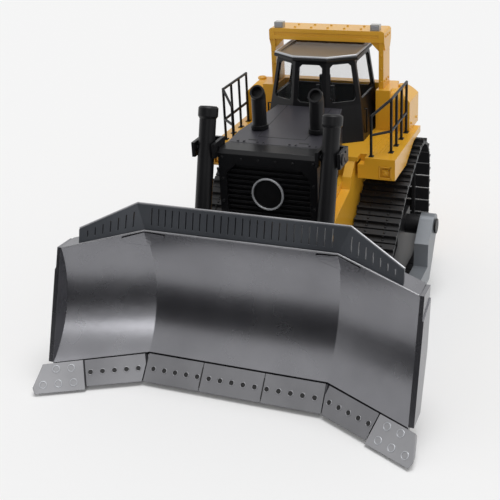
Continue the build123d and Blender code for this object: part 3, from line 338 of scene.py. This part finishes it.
def draped_plate(shape, node, outline, thickness, cuts=3):
    """A thin plate cut to an outline in front view and laid on the front of a CAD node."""
    flat = bmesh.new()
    flat.faces.new([flat.verts.new((x, 0, z)) for x, z in outline])
    bmesh.ops.triangulate(flat, faces=flat.faces[:])
    bmesh.ops.subdivide_edges(flat, edges=flat.edges[:], cuts=cuts, use_grid_fill=True)
    bmesh.ops.triangulate(flat, faces=flat.faces[:])
    flat.verts.ensure_lookup_table()
    front, back = {}, {}
    for vertex in flat.verts:
        x, _, z = vertex.co
        y = touch(node, (x, -FAR, z), BACKWARD)[0].y
        front[vertex.index] = shape.verts.new((x, y - thickness, z))
        back[vertex.index] = shape.verts.new((x, y + 0.1, z))
    for face in flat.faces:
        shape.faces.new([front[v.index] for v in face.verts])
        shape.faces.new([back[v.index] for v in reversed(face.verts)])
    for edge in flat.edges:
        if len(edge.link_faces) == 1:
            a, b = edge.verts
            shape.faces.new((front[a.index], front[b.index], back[b.index], back[a.index]))
    flat.free()


def piece(name, body, finish, shape):
    """Make an object of a built shape, and let it ride on its body."""
    bmesh.ops.recalc_face_normals(shape, faces=shape.faces[:])
    for vertex in shape.verts:
        vertex.co *= MM
    mesh = bpy.data.meshes.new(name)
    shape.to_mesh(mesh)
    shape.free()
    mesh.materials.append(finish)
    obj = bpy.data.objects.new(name, mesh)
    bpy.context.scene.collection.objects.link(obj)
    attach(obj, body)


# ------------------------------------------------------------------ blade: edge bolts
EDGE_BOLT_Z = 5.0
EDGE_BOLT_RADIUS, END_BOLT_RADIUS = 1.0, 1.3
BOLTS_A_PLATE = 5
PLATE_STARTS, PLATE_STEP = (-29.4, -9.75, 9.9), 3.9     # where each middle row starts, and its bolts' step
WING_START, WING_STEP = 32.4, 3.5                       # each wing's first bolt, and the step from there

bolt_xs = [start + (index + 0.5) * PLATE_STEP for start in PLATE_STARTS for index in range(BOLTS_A_PLATE)]
bolt_xs += [side * (WING_START + index * WING_STEP) for side, _ in SIDES for index in range(BOLTS_A_PLATE)]
# painted highlight and shade: the rims are lighter steel than the edge plates, and the dishes inside them are
# black as the shade in the bolt holes
rims, heads = bmesh.new(), bmesh.new()
for x in bolt_xs:
    ringed_bolt(rims, heads, from_front("cutting_edges", x, EDGE_BOLT_Z), EDGE_BOLT_RADIUS)
piece("edge_bolt_highlight_rims", "blade", EDGE, rims)
piece("edge_bolt_shaded_heads", "blade", SHADE_BLACK, heads)

# painted shade: dark strips over the gaps between the middle edge plates, each read on the plate beside its gap
EDGE_GAP_SHADE_X = 10.5
EDGE_GAP_SHADE = (0.42, 6.6, 0.03, 0.01)        # width, height, depth and edge, as in the slabs below
BESIDE_GAP = 0.4
shape = bmesh.new()
for x in (-EDGE_GAP_SHADE_X, EDGE_GAP_SHADE_X):
    spot, normal = touch("cutting_edges", (x + BESIDE_GAP, -FAR, EDGE_BOLT_Z), BACKWARD)
    slab(shape, facing(spot - Vector((BESIDE_GAP, 0, 0)), normal), *EDGE_GAP_SHADE)
piece("edge_gap_shade", "blade", SHADE_BLACK, shape)

# the end bits' bolts: their light grey rims are a painted highlight round heads in worn steel
END_BIT_BOLTS = ((52.4, 6.5), (56.8, 6.5), (50.4, 3.0), (54.8, 3.0), (59.2, 3.0))       # x and z of each
rims, heads = bmesh.new(), bmesh.new()
for side, _ in SIDES:
    for x, z in END_BIT_BOLTS:
        ringed_bolt(rims, heads, from_front("blade_end_bits", side * x, z), END_BOLT_RADIUS)
piece("end_bit_highlight_rims", "blade", PALE, rims)
piece("end_bit_heads", "blade", EDGE, heads)

# ------------------------------------------------------------------ blade: crease plates and top rims
# the corners of the left one in front view: x and z
CREASE_PLATE = ((25.1, 47.6), (26.3, 45.2), (32.5, 42.6), (38.4, 44.2), (39.5, 46.3), (32.2, 48.2))
CREASE_PLATE_THICKNESS = 0.45
shape = bmesh.new()
for side, _ in SIDES:
    draped_plate(shape, "moldboard", [(side * x, z) for x, z in CREASE_PLATE], CREASE_PLATE_THICKNESS)
piece("crease_plates", "blade", BLADE, shape)

# painted highlight: a rim in light steel along the top of the guard above the blade, its points at its outer end
# and its bend
GUARD_HIGHLIGHT, GUARD_HIGHLIGHT_RADIUS = ((53.2, -61.7, 48.95), (35.42, -53.9, 56.56)), 0.42
shape = bmesh.new()
tube(shape, mirrored(GUARD_HIGHLIGHT), GUARD_HIGHLIGHT_RADIUS)
piece("guard_rim_highlight", "blade", EDGE, shape)

# and a rim along the front of the moldboard's flange, its light steel a painted highlight as well
FLANGE_HIGHLIGHT, FLANGE_HIGHLIGHT_RADIUS = ((58.4, -66.0, 43.3), (32.25, -57.5, 48.85)), 0.32
shape = bmesh.new()
tube(shape, mirrored(FLANGE_HIGHLIGHT), FLANGE_HIGHLIGHT_RADIUS)
piece("flange_rim_highlight", "blade", EDGE, shape)

# ------------------------------------------------------------------ lift cylinders: collars and caps
lift_pivot = Vector(joints["lift_cylinder_swing_left"]["pos_m"]) / MM
lift_x, lift_y, lift_z = (round(value, 3) for value in lift_pivot)
EYE_Y, EYE_Z = -45.1, 16.0      # the rod's eye on the blade
LIFT_TAIL, LIFT_HEAD = 24.0, 13.6       # from the pivot to the barrel's two ends
COLLAR_BOLTS, COLLAR_BOLT_CIRCLE, COLLAR_BOLT_LEVEL = 6, 2.7, -0.05
COLLAR_BOLT = ((0.34, -0.1), (0.34, 0.2), (0.24, 0.3))
COLLAR = ((1.75, -0.12), (3.35, -0.12), (3.6, 0.2), (3.6, 1.6), (3.15, 2.6), (2.82, 3.4),
          (2.6, 3.4), (2.6, 0.1), (1.75, 0.1))
CAP = ((2.8, -3.8), (3.35, -3.0), (3.35, -0.3), (3.1, 0.0), (2.7, 0.35), (1.6, 0.4), (1.5, 0.2), (0.6, 0.2))

for side, word in SIDES:
    pivot = Vector((side * lift_x, lift_y, lift_z))
    down = (Vector((side * lift_x, EYE_Y, EYE_Z)) - pivot).normalized()
    shape = bmesh.new()
    foot = facing(pivot + down * LIFT_TAIL, -down, (1, 0, 0))
    ring(shape, foot, COLLAR)
    for spot in circle(foot, COLLAR_BOLT_CIRCLE, COLLAR_BOLT_LEVEL, COLLAR_BOLTS):
        turned(shape, facing(spot, down, (1, 0, 0)), COLLAR_BOLT, sides=6)
    turned(shape, facing(pivot - down * LIFT_HEAD, -down, (1, 0, 0)), CAP, sides=32)
    piece(f"lift_collar_{word}", f"lift_barrel_{word}", BLACK, shape)

# ------------------------------------------------------------------ pins of the yokes and of the arms
_, yokes_high = box_mm("lift_yokes")
YOKE_BOLT_Y = -26.6
YOKE_BOLT_SPREAD = 1.6          # above and below the pivot
YOKE_PIN = ((1.9, -0.1), (1.9, 0.25), (1.6, 0.45), (0.9, 0.45), (0.8, 0.3), (0.3, 0.3))
shape = bmesh.new()
for side, _ in SIDES:
    x = side * yokes_high.x
    turned(shape, facing((x, lift_y, lift_z), (side, 0, 0)), YOKE_PIN, sides=24)
    for z in (lift_z - YOKE_BOLT_SPREAD, lift_z + YOKE_BOLT_SPREAD):
        hex_bolt(shape, facing((x, YOKE_BOLT_Y, z), (side, 0, 0)), *FINE_BOLT)
piece("yoke_pins", "machine", BLACK, shape)

_, lugs_high = box_mm("lift_lugs")
lug_inner_x = 2 * lift_x - lugs_high.x
ARM_PIN_Y, ARM_PIN_Z = -56.0, 10.0
EYE_PIN = ((1.3, -0.3), (1.3, 0.3), (1.0, 0.5), (0.4, 0.5))
ARM_PIN = ((1.9, -0.1), (1.9, 0.3), (1.5, 0.6), (0.9, 0.6), (0.8, 0.4), (0.3, 0.4))
shape = bmesh.new()
for side, word in SIDES:
    for x, way in ((lugs_high.x, side), (lug_inner_x, -side)):
        turned(shape, facing((side * x, EYE_Y, EYE_Z), (way, 0, 0)), EYE_PIN, sides=20)
    spot, normal = touch(f"push_arm_{word}", (side * FAR, ARM_PIN_Y, ARM_PIN_Z), (-side, 0, 0))
    turned(shape, facing(spot, normal), ARM_PIN, sides=24)
piece("arm_pins", "blade", ROD, shape)

# ------------------------------------------------------------------ radiator guard and badge
guard_low, guard_high = box_mm("radiator_guard")
# painted shade: the notches along the guard's top are dark slabs on its surface, not cuts
NOTCHES, NOTCH_STEP = 13, 2.3
NOTCH = (0.9, 0.7, 0.04, 0.02)
notch_y, notch_z = guard_low.y + 0.75, guard_high.z - 0.65      # on the slope along the top
shape = bmesh.new()
for index in range(NOTCHES):
    x = (index - NOTCHES // 2) * NOTCH_STEP
    slab(shape, facing((x, notch_y, notch_z), (0, -1, 1)), *NOTCH)
piece("guard_notch_shade", "machine", SHADE_BLACK, shape)

GUARD_BOLT_X = 15.9
GUARD_BOLT_ZS = (34.0, 42.0, 50.0, 58.0, 65.6)
TOP_BOLT_XS, TOP_BOLT_Z = (-9.0, -3.0, 3.0, 9.0), 65.3
shape = bmesh.new()
for side, _ in SIDES:
    for z in GUARD_BOLT_ZS:
        hex_bolt(shape, facing((side * GUARD_BOLT_X, guard_low.y, z), FORWARD), *BIG_BOLT)
for x in TOP_BOLT_XS:
    hex_bolt(shape, facing((x, guard_low.y, TOP_BOLT_Z), FORWARD), *SMALL_BOLT)
piece("guard_bolts", "machine", BLACK, shape)

badge_low, badge_high = box_mm("badge")
BADGE_RING = ((5.62, -0.3), (5.62, 0.12), (5.3, 0.25), (5.0, 0.12), (4.92, -0.5))
shape = bmesh.new()
ring(shape, facing((0, badge_low.y, (badge_low.z + badge_high.z) / 2), FORWARD), BADGE_RING, sides=48)
piece("badge_ring", "machine", PALE, shape)


# ------------------------------------------------------------------ hood: lid, slots and bolts
def on_hood(x, y):
    """A place on the hood's top."""
    return facing(*touch("hood", (x, y, FAR), DOWN), BACKWARD)


# painted shade: the lid's seams and the slots are dark strips on the hood, not grooves
SEAM, SEAM_DEPTH, SEAM_EDGE = 0.22, 0.05, 0.02
LID_HALF_WIDTH, LID_FRONT_Y, LID_LENGTH = 8.4, -15.5, 30.0
FRONT_SEAM_Y, FRONT_SEAM_LENGTH = -21.6, 32.0
SLOT_X, SLOT_Y = 9.0, -18.6
SLOT = (3.4, 0.7, 0.05, 0.02)
HOOD_BOLT_XS, HOOD_BOLT_Y = (4.6, 6.8, 11.6, 13.8), -20.4
shape = bmesh.new()
for side, _ in SIDES:
    slab(shape, on_hood(side * LID_HALF_WIDTH, LID_FRONT_Y + LID_LENGTH / 2), SEAM, LID_LENGTH,
         SEAM_DEPTH, SEAM_EDGE)
    slab(shape, on_hood(side * SLOT_X, SLOT_Y), *SLOT)
slab(shape, on_hood(0, FRONT_SEAM_Y), FRONT_SEAM_LENGTH, SEAM, SEAM_DEPTH, SEAM_EDGE)
slab(shape, on_hood(0, LID_FRONT_Y), 2 * LID_HALF_WIDTH, SEAM, SEAM_DEPTH, SEAM_EDGE)
piece("hood_seam_shade", "machine", SHADE_BLACK, shape)

shape = bmesh.new()
for side, _ in SIDES:
    for x in HOOD_BOLT_XS:
        hex_bolt(shape, on_hood(side * x, HOOD_BOLT_Y), *BOLT)
piece("hood_bolts", "machine", HOOD, shape)

# ------------------------------------------------------------------ fenders: lamps
fender_low, fender_high = box_mm("fender_left")
FENDER_LAMP_X, FENDER_LAMP_Z = 31.2, 52.5
LAMP_SQUARE, LAMP_STRIP = 4.0, 0.4      # between the middles of opposite strips, and each one's width
LAMP_STRIP_DEPTH, LAMP_STRIP_EDGE = 0.18, 0.08
LAMP_STUD = (1.0, 1.0, 0.25, 0.1)
LAMP_STUD_BACK = 0.2            # the stud stands in the lamp's recess
shape = bmesh.new()
for side, _ in SIDES:
    place = facing((side * FENDER_LAMP_X, fender_low.y, FENDER_LAMP_Z), FORWARD)
    for way in (1, -1):
        level = place @ Matrix.Translation((0, way * LAMP_SQUARE / 2, 0))
        slab(shape, level, LAMP_SQUARE + LAMP_STRIP, LAMP_STRIP, LAMP_STRIP_DEPTH, LAMP_STRIP_EDGE)
    for way in (1, -1):
        upright = place @ Matrix.Translation((way * LAMP_SQUARE / 2, 0, 0))
        slab(shape, upright, LAMP_STRIP, LAMP_SQUARE + LAMP_STRIP, LAMP_STRIP_DEPTH, LAMP_STRIP_EDGE)
piece("fender_lamp_rims", "machine", YELLOW, shape)

shape = bmesh.new()
for side, _ in SIDES:
    spot = (side * FENDER_LAMP_X, fender_low.y + LAMP_STUD_BACK, FENDER_LAMP_Z)
    slab(shape, facing(spot, FORWARD), *LAMP_STUD)
piece("fender_lamp_lenses", "machine", YELLOW, shape)

# ------------------------------------------------------------------ rollover frame
# a copy of the CAD frame with its two lamps cut down and in their own finish
BEAM_TOP, LAMP_HEIGHT = 94.0, 2.2
rops_mesh = nodes["rops"].data.copy()
rops_mesh.materials.append(LENS)
lamp_top = max(v.co.z for v in rops_mesh.vertices)
for vertex in rops_mesh.vertices:
    if vertex.co.z > lamp_top - 0.1 * MM:
        vertex.co.z = (BEAM_TOP + LAMP_HEIGHT) * MM
for polygon in rops_mesh.polygons:
    if polygon.center.z > (BEAM_TOP + 0.05) * MM:
        polygon.material_index = 1
rops_frame = bpy.data.objects.new("rops_frame", rops_mesh)
bpy.context.scene.collection.objects.link(rops_frame)
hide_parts("rops")
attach(rops_frame, "machine")

_, rops_high = box_mm("rops")
TOP_STUDS, TOP_STUD_STEP, TOP_STUD_YS = 5, 6.4, (37.6, 42.2)
SIDE_STUD_YS = (37.0, 39.75, 42.5)
SIDE_STUD_ROWS = ((rops_high.x, 91.9), (21.9, 75.2))        # x and z: the beam's ends and the posts' feet
POST_STUD_X, POST_STUD_Y, POST_STUD_ZS = 21.0, 35.2, (75.2, 80.0, 85.0)
shape = bmesh.new()
for index in range(TOP_STUDS):
    for y in TOP_STUD_YS:
        hex_bolt(shape, facing(((index - TOP_STUDS // 2) * TOP_STUD_STEP, y, BEAM_TOP), UP), *BIG_BOLT)
for side, _ in SIDES:
    for y in SIDE_STUD_YS:
        for x, z in SIDE_STUD_ROWS:
            hex_bolt(shape, facing((side * x, y, z), (side, 0, 0)), *SMALL_BOLT)
    for z in POST_STUD_ZS:
        hex_bolt(shape, facing((side * POST_STUD_X, POST_STUD_Y, z), FORWARD), *FINE_BOLT)
piece("rops_studs", "machine", YELLOW, shape)

LAMP_X, LAMP_FRONT_Y = 18.6, 35.3
LAMP_LENS = (2.7, LAMP_HEIGHT - 0.6, 0.12, 0.05)
shape = bmesh.new()
for side, _ in SIDES:
    place = facing((side * LAMP_X, LAMP_FRONT_Y, BEAM_TOP + LAMP_HEIGHT / 2), FORWARD)
    slab(shape, place, *LAMP_LENS)
piece("rops_lamp_lenses", "machine", PALE, shape)

# ------------------------------------------------------------------ fuel tank
_, tank_high = box_mm("fuel_tank")
TANK_CAP_X, TANK_CAP_Y = 28.0, 40.0
TANK_CAP = ((1.7, -0.1), (1.7, 0.5), (1.5, 0.8), (1.2, 0.8), (1.1, 0.6), (0.3, 0.6))
TANK_BOLT_YS, TANK_BOLT_Z = (35.5, 43.5), 60.0
shape = bmesh.new()
for side, _ in SIDES:
    turned(shape, facing((side * TANK_CAP_X, TANK_CAP_Y, tank_high.z), UP), TANK_CAP, sides=24)
    for y in TANK_BOLT_YS:
        hex_bolt(shape, facing((side * tank_high.x, y, TANK_BOLT_Z), (side, 0, 0)), *BOLT)
piece("tank_fittings", "machine", YELLOW, shape)

# ------------------------------------------------------------------ fenders: rail feet and steps
POST_X, POST_FRONT_Y, POST_STEP, POSTS = 31.4, 9.2, 7.5, 4
CORNER_POST_X, CORNER_POST_Y = 25.8, 3.6
POST_FOOT, CORNER_FOOT = (1.7, 2.2, 0.3, 0.08), (1.7, 1.7, 0.3, 0.08)
shape = bmesh.new()
for side, _ in SIDES:
    for index in range(POSTS):
        spot = (side * POST_X, POST_FRONT_Y + index * POST_STEP, fender_high.z)
        slab(shape, facing(spot, UP, BACKWARD), *POST_FOOT)
    slab(shape, facing((side * CORNER_POST_X, CORNER_POST_Y, fender_high.z), UP, BACKWARD), *CORNER_FOOT)
piece("rail_feet", "machine", BLACK, shape)

# raised dots of the non-slip steps, each second column half a step back
DOT_X, DOT_Y = 24.6, 6.6
DOT_COLUMNS, DOT_COLUMN_STEP = 6, 1.1
DOT_ROWS, DOT_ROW_STEP = 14, 1.7
DOT = ((0.26, -0.05), (0.26, 0.06), (0.16, 0.14))
shape = bmesh.new()
for side, _ in SIDES:
    for row in range(DOT_ROWS):
        for column in range(DOT_COLUMNS):
            x = DOT_X + column * DOT_COLUMN_STEP
            y = DOT_Y + (row + 0.5 * (column % 2)) * DOT_ROW_STEP
            turned(shape, facing((side * x, y, fender_high.z), UP), DOT, sides=6)
piece("step_dots", "machine", YELLOW, shape)

# ------------------------------------------------------------------ cab
# a bent bar on each door
HANDLE_Y, HANDLE_Z = 22.5, 64.0
HANDLE_HALF_LENGTH, HANDLE_STAND_OFF, HANDLE_RADIUS = 4.5, 1.0, 0.32
shape = bmesh.new()
for side, word in SIDES:
    spot, normal = touch(f"cab_door_{word}", (side * FAR, HANDLE_Y, HANDLE_Z), (-side, 0, 0))
    low_foot = spot - Vector((0, 0, HANDLE_HALF_LENGTH))
    high_foot = spot + Vector((0, 0, HANDLE_HALF_LENGTH))
    out = normal * HANDLE_STAND_OFF
    tube(shape, (low_foot, low_foot + out, high_foot + out, high_foot), HANDLE_RADIUS)
piece("door_handles", "machine", BLACK, shape)

# the light gutter round the roof's top edge, and the black header under it
roof_low, _ = box_mm("cab_roof")
ROOF_CORNER_X, ROOF_CORNER_Y, ROOF_BACK_Y = 6.3, 22.4, 42.4
GUTTER_Z, GUTTER_RADIUS = 88.15, 0.42
HEADER_Z, HEADER_RADIUS = 87.2, 0.72
gutter = [
    (-ROOF_CORNER_X, roof_low.y),
    (ROOF_CORNER_X, roof_low.y),
    (-roof_low.x, ROOF_CORNER_Y),
    (-roof_low.x, ROOF_BACK_Y),
    (roof_low.x, ROOF_BACK_Y),
    (roof_low.x, ROOF_CORNER_Y),
]
gutter += gutter[:2]
shape = bmesh.new()
tube(shape, [(x, y, GUTTER_Z) for x, y in gutter], GUTTER_RADIUS)
piece("roof_gutter", "machine", PALE, shape)
shape = bmesh.new()
tube(shape, [(x, y, HEADER_Z) for x, y in gutter], HEADER_RADIUS)
piece("roof_header", "machine", BLACK, shape)

# steering wheel with its spokes and column, and a lever and an armrest on each side of the seat
WHEEL_CENTRE, WHEEL_TILT, COLUMN_FOOT = (0, 22.4, 70.6), (0, 0.6, 1.0), (0, 20.6, 67.4)
WHEEL_RADIUS, WHEEL_BAR, SPOKE_BAR, COLUMN_BAR, LEVER_BAR = 2.4, 0.28, 0.22, 0.5, 0.3
LEVER_X, KNOB_X, ARMREST_X = 4.6, 4.462, 4.876
KNOB_Y, KNOB_Z = 26.2, 69.8
KNOB = ((0.5, -0.4), (0.62, 0.1), (0.4, 0.6))
ARMREST = (1.8, 6.4, 1.0, 0.3, 7.0)         # the last is its stand's height
wheel = facing(WHEEL_CENTRE, WHEEL_TILT, BACKWARD)
wheel_rim = circle(wheel, WHEEL_RADIUS, 0, 24)
spokes = ((-WHEEL_RADIUS, 0, 0), (0, 0, -0.3), (WHEEL_RADIUS, 0, 0))
shape = bmesh.new()
tube(shape, wheel_rim + wheel_rim[:1], WHEEL_BAR)
tube(shape, [wheel @ Vector(point) for point in spokes], SPOKE_BAR)
tube(shape, [wheel @ Vector((0, 0, -0.2)), COLUMN_FOOT], COLUMN_BAR)
for side in (-1, 1):
    knob = (side * KNOB_X, KNOB_Y, KNOB_Z)
    tube(shape, [(side * LEVER_X, 27.5, 63.8), (side * LEVER_X, 26.6, 69.2), knob], LEVER_BAR)
    turned(shape, facing(knob, (0, -0.2, 1)), KNOB)
    slab(shape, facing((side * ARMREST_X, 29.6, 64.4), UP), *ARMREST)
piece("cab_controls", "machine", INTERIOR, shape)

# ------------------------------------------------------------------ running gear
TRACK_MIDDLE_Z = 26.0
# how a shoe's flat plate is told from the track's other faces: least width, limits of length, least reach out
PLATE_MIN_WIDTH, PLATE_LENGTHS, PLATE_MIN_REACH = 15.0, (1.2, 3.0), 4.0


def shoe_plates(track):
    """The middle and the outward direction of each shoe's flat plate, found by its width and length."""
    low, high = box_mm(track)
    middle = Vector(((low.x + high.x) / 2, (low.y + high.y) / 2, TRACK_MIDDLE_Z))
    plates = {}
    mesh = nodes[track].data
    for polygon in mesh.polygons:
        corners = [mesh.vertices[index].co / MM for index in polygon.vertices]
        width = max(corner.x for corner in corners) - min(corner.x for corner in corners)
        ends = sorted({(round(corner.y, 2), round(corner.z, 2)) for corner in corners})
        across = abs(polygon.normal.x) <= 0.01 and width >= PLATE_MIN_WIDTH and len(ends) == 2
        if not across or not PLATE_LENGTHS[0] < math.dist(*ends) < PLATE_LENGTHS[1]:
            continue
        centre = Vector((middle.x, (ends[0][0] + ends[1][0]) / 2, (ends[0][1] + ends[1][1]) / 2))
        if polygon.normal.dot(centre - middle) > PLATE_MIN_REACH:
            plates[tuple(ends)] = (centre, polygon.normal.copy())
    return plates.values()


SHOE_BOLT_X = 3.4               # from the track's middle
HUB_Y, HUB_Z = 36.0, 40.0
HUB_BOLTS, HUB_BOLT_CIRCLE = 10, 4.3
HUB_CAP = ((2.4, -0.1), (2.4, 0.4), (2.0, 0.6), (0.9, 0.6))
_, hub_high = box_mm("sprocket_left")

for side, word in SIDES:
    shape = bmesh.new()
    for centre, out in shoe_plates(f"track_{word}"):
        for x in (-SHOE_BOLT_X, SHOE_BOLT_X):
            hex_bolt(shape, facing(centre + Vector((x, 0, 0)), out, (1, 0, 0)), *SMALL_BOLT)
    piece(f"shoe_bolts_{word}", "machine", TRACK, shape)

    shape = bmesh.new()
    for index in range(HUB_BOLTS):
        angle = 2 * math.pi * index / HUB_BOLTS
        y, z = HUB_Y + HUB_BOLT_CIRCLE * math.cos(angle), HUB_Z + HUB_BOLT_CIRCLE * math.sin(angle)
        hex_bolt(shape, facing((side * hub_high.x, y, z), (side, 0, 0)), *BOLT)
    turned(shape, facing((side * hub_high.x, HUB_Y, HUB_Z), (side, 0, 0)), HUB_CAP, sides=24)
    piece(f"hub_bolts_{word}", "machine", TRACK, shape)

# ------------------------------------------------------------------ ripper
ripper_pivot = Vector(joints["ripper_lift"]["pos_m"]) / MM
RIPPER_PIN_X = 13.3
RIPPER_PIN = ((1.9, -0.3), (1.9, 0.3), (1.52, 0.5), (0.76, 0.5))
shape = bmesh.new()
for side, _ in SIDES:
    place = facing((side * RIPPER_PIN_X, ripper_pivot.y, ripper_pivot.z), (side, 0, 0))
    turned(shape, place, RIPPER_PIN, sides=24)
piece("ripper_pins", "ripper", BLACK, shape)

# ------------------------------------------------------------------ floor and dark room
FLOOR_HALF = 6.0                # this section is in metres
floor_mesh = bpy.data.meshes.new("floor")
floor_corners = [(-FLOOR_HALF, -FLOOR_HALF, 0), (FLOOR_HALF, -FLOOR_HALF, 0), (FLOOR_HALF, FLOOR_HALF, 0),
                 (-FLOOR_HALF, FLOOR_HALF, 0)]
floor_mesh.from_pydata(floor_corners, [], [(0, 1, 2, 3)])
floor_material = dull_material("pale_floor", srgb(246, 246, 246))
floor_material.node_tree.nodes["Principled BSDF"].inputs["Specular IOR Level"].default_value = 0.0
floor_mesh.materials.append(floor_material)
floor = bpy.data.objects.new("floor", floor_mesh)
bpy.context.scene.collection.objects.link(floor)

# a dark floor and wall in front of the machine, which only its shiny faces show
ROOM_HALF_WIDTH, ROOM_NEAR_Y, ROOM_FAR_Y, ROOM_FLOOR_Z, ROOM_HEIGHT = 1.6, -0.16, -1.1, 0.002, 0.6
room_mesh = bpy.data.meshes.new("dark_card")
room_corners = []
for y, z in ((ROOM_NEAR_Y, ROOM_FLOOR_Z), (ROOM_FAR_Y, ROOM_FLOOR_Z), (ROOM_FAR_Y, ROOM_HEIGHT)):
    room_corners += [(-ROOM_HALF_WIDTH, y, z), (ROOM_HALF_WIDTH, y, z)]
room_mesh.from_pydata(room_corners, [], [(0, 1, 3, 2), (2, 3, 5, 4)])
room_mesh.materials.append(dull_material("dark_card", srgb(58, 58, 62)))
room = bpy.data.objects.new("dark_card", room_mesh)
bpy.context.scene.collection.objects.link(room)
room.visible_camera = False
room.visible_shadow = False
room.visible_diffuse = False


# ------------------------------------------------------------------ backdrop
def larger(tree, first, second):
    """The larger of two values."""
    node = tree.nodes.new("ShaderNodeMath")
    node.operation = "MAXIMUM"
    tree.links.new(first, node.inputs[0])
    tree.links.new(second, node.inputs[1])
    return node.outputs[0]


def seen_white(tree, lit, backdrop):
    """Show the backdrop's shader to the camera, mirrors and glass, and the lit one to everything else."""
    rays = tree.nodes.new("ShaderNodeLightPath").outputs
    seen = larger(tree, rays["Is Camera Ray"], rays["Is Glossy Ray"])
    seen = larger(tree, seen, rays["Is Transmission Ray"])
    mix = tree.nodes.new("ShaderNodeMixShader")
    tree.links.new(seen, mix.inputs[0])
    tree.links.new(lit, mix.inputs[1])
    tree.links.new(backdrop, mix.inputs[2])
    return mix.outputs[0]


world = bpy.data.worlds.new("studio")
bpy.context.scene.world = world
world.use_nodes = True
tree = world.node_tree
lit = tree.nodes["Background"]
lit.inputs["Color"].default_value = (1, 1, 1, 1)
lit.inputs["Strength"].default_value = 0.43
backdrop = tree.nodes.new("ShaderNodeBackground")
backdrop.inputs["Color"].default_value = srgb(242, 242, 242)
backdrop.inputs["Strength"].default_value = 1.0
shown = seen_white(tree, lit.outputs[0], backdrop.outputs[0])
tree.links.new(shown, tree.nodes["World Output"].inputs["Surface"])


# ------------------------------------------------------------------ light
def sun_light(name, way, angle, strength):
    """Soft light from far away, the same all over the floor."""
    data = bpy.data.lights.new(name, "SUN")
    data.angle = math.radians(angle)
    data.energy = strength
    lamp = bpy.data.objects.new(name, data)
    bpy.context.scene.collection.objects.link(lamp)
    lamp.rotation_euler = (-Vector(way)).to_track_quat("-Z", "Y").to_euler()


sun_light("overhead", (0.15, 0.05, 1.0), 40, 1.62)
sun_light("front", (0.35, -0.9, 0.55), 20, 0.35)

bpy.context.scene.view_settings.view_transform = "Standard"
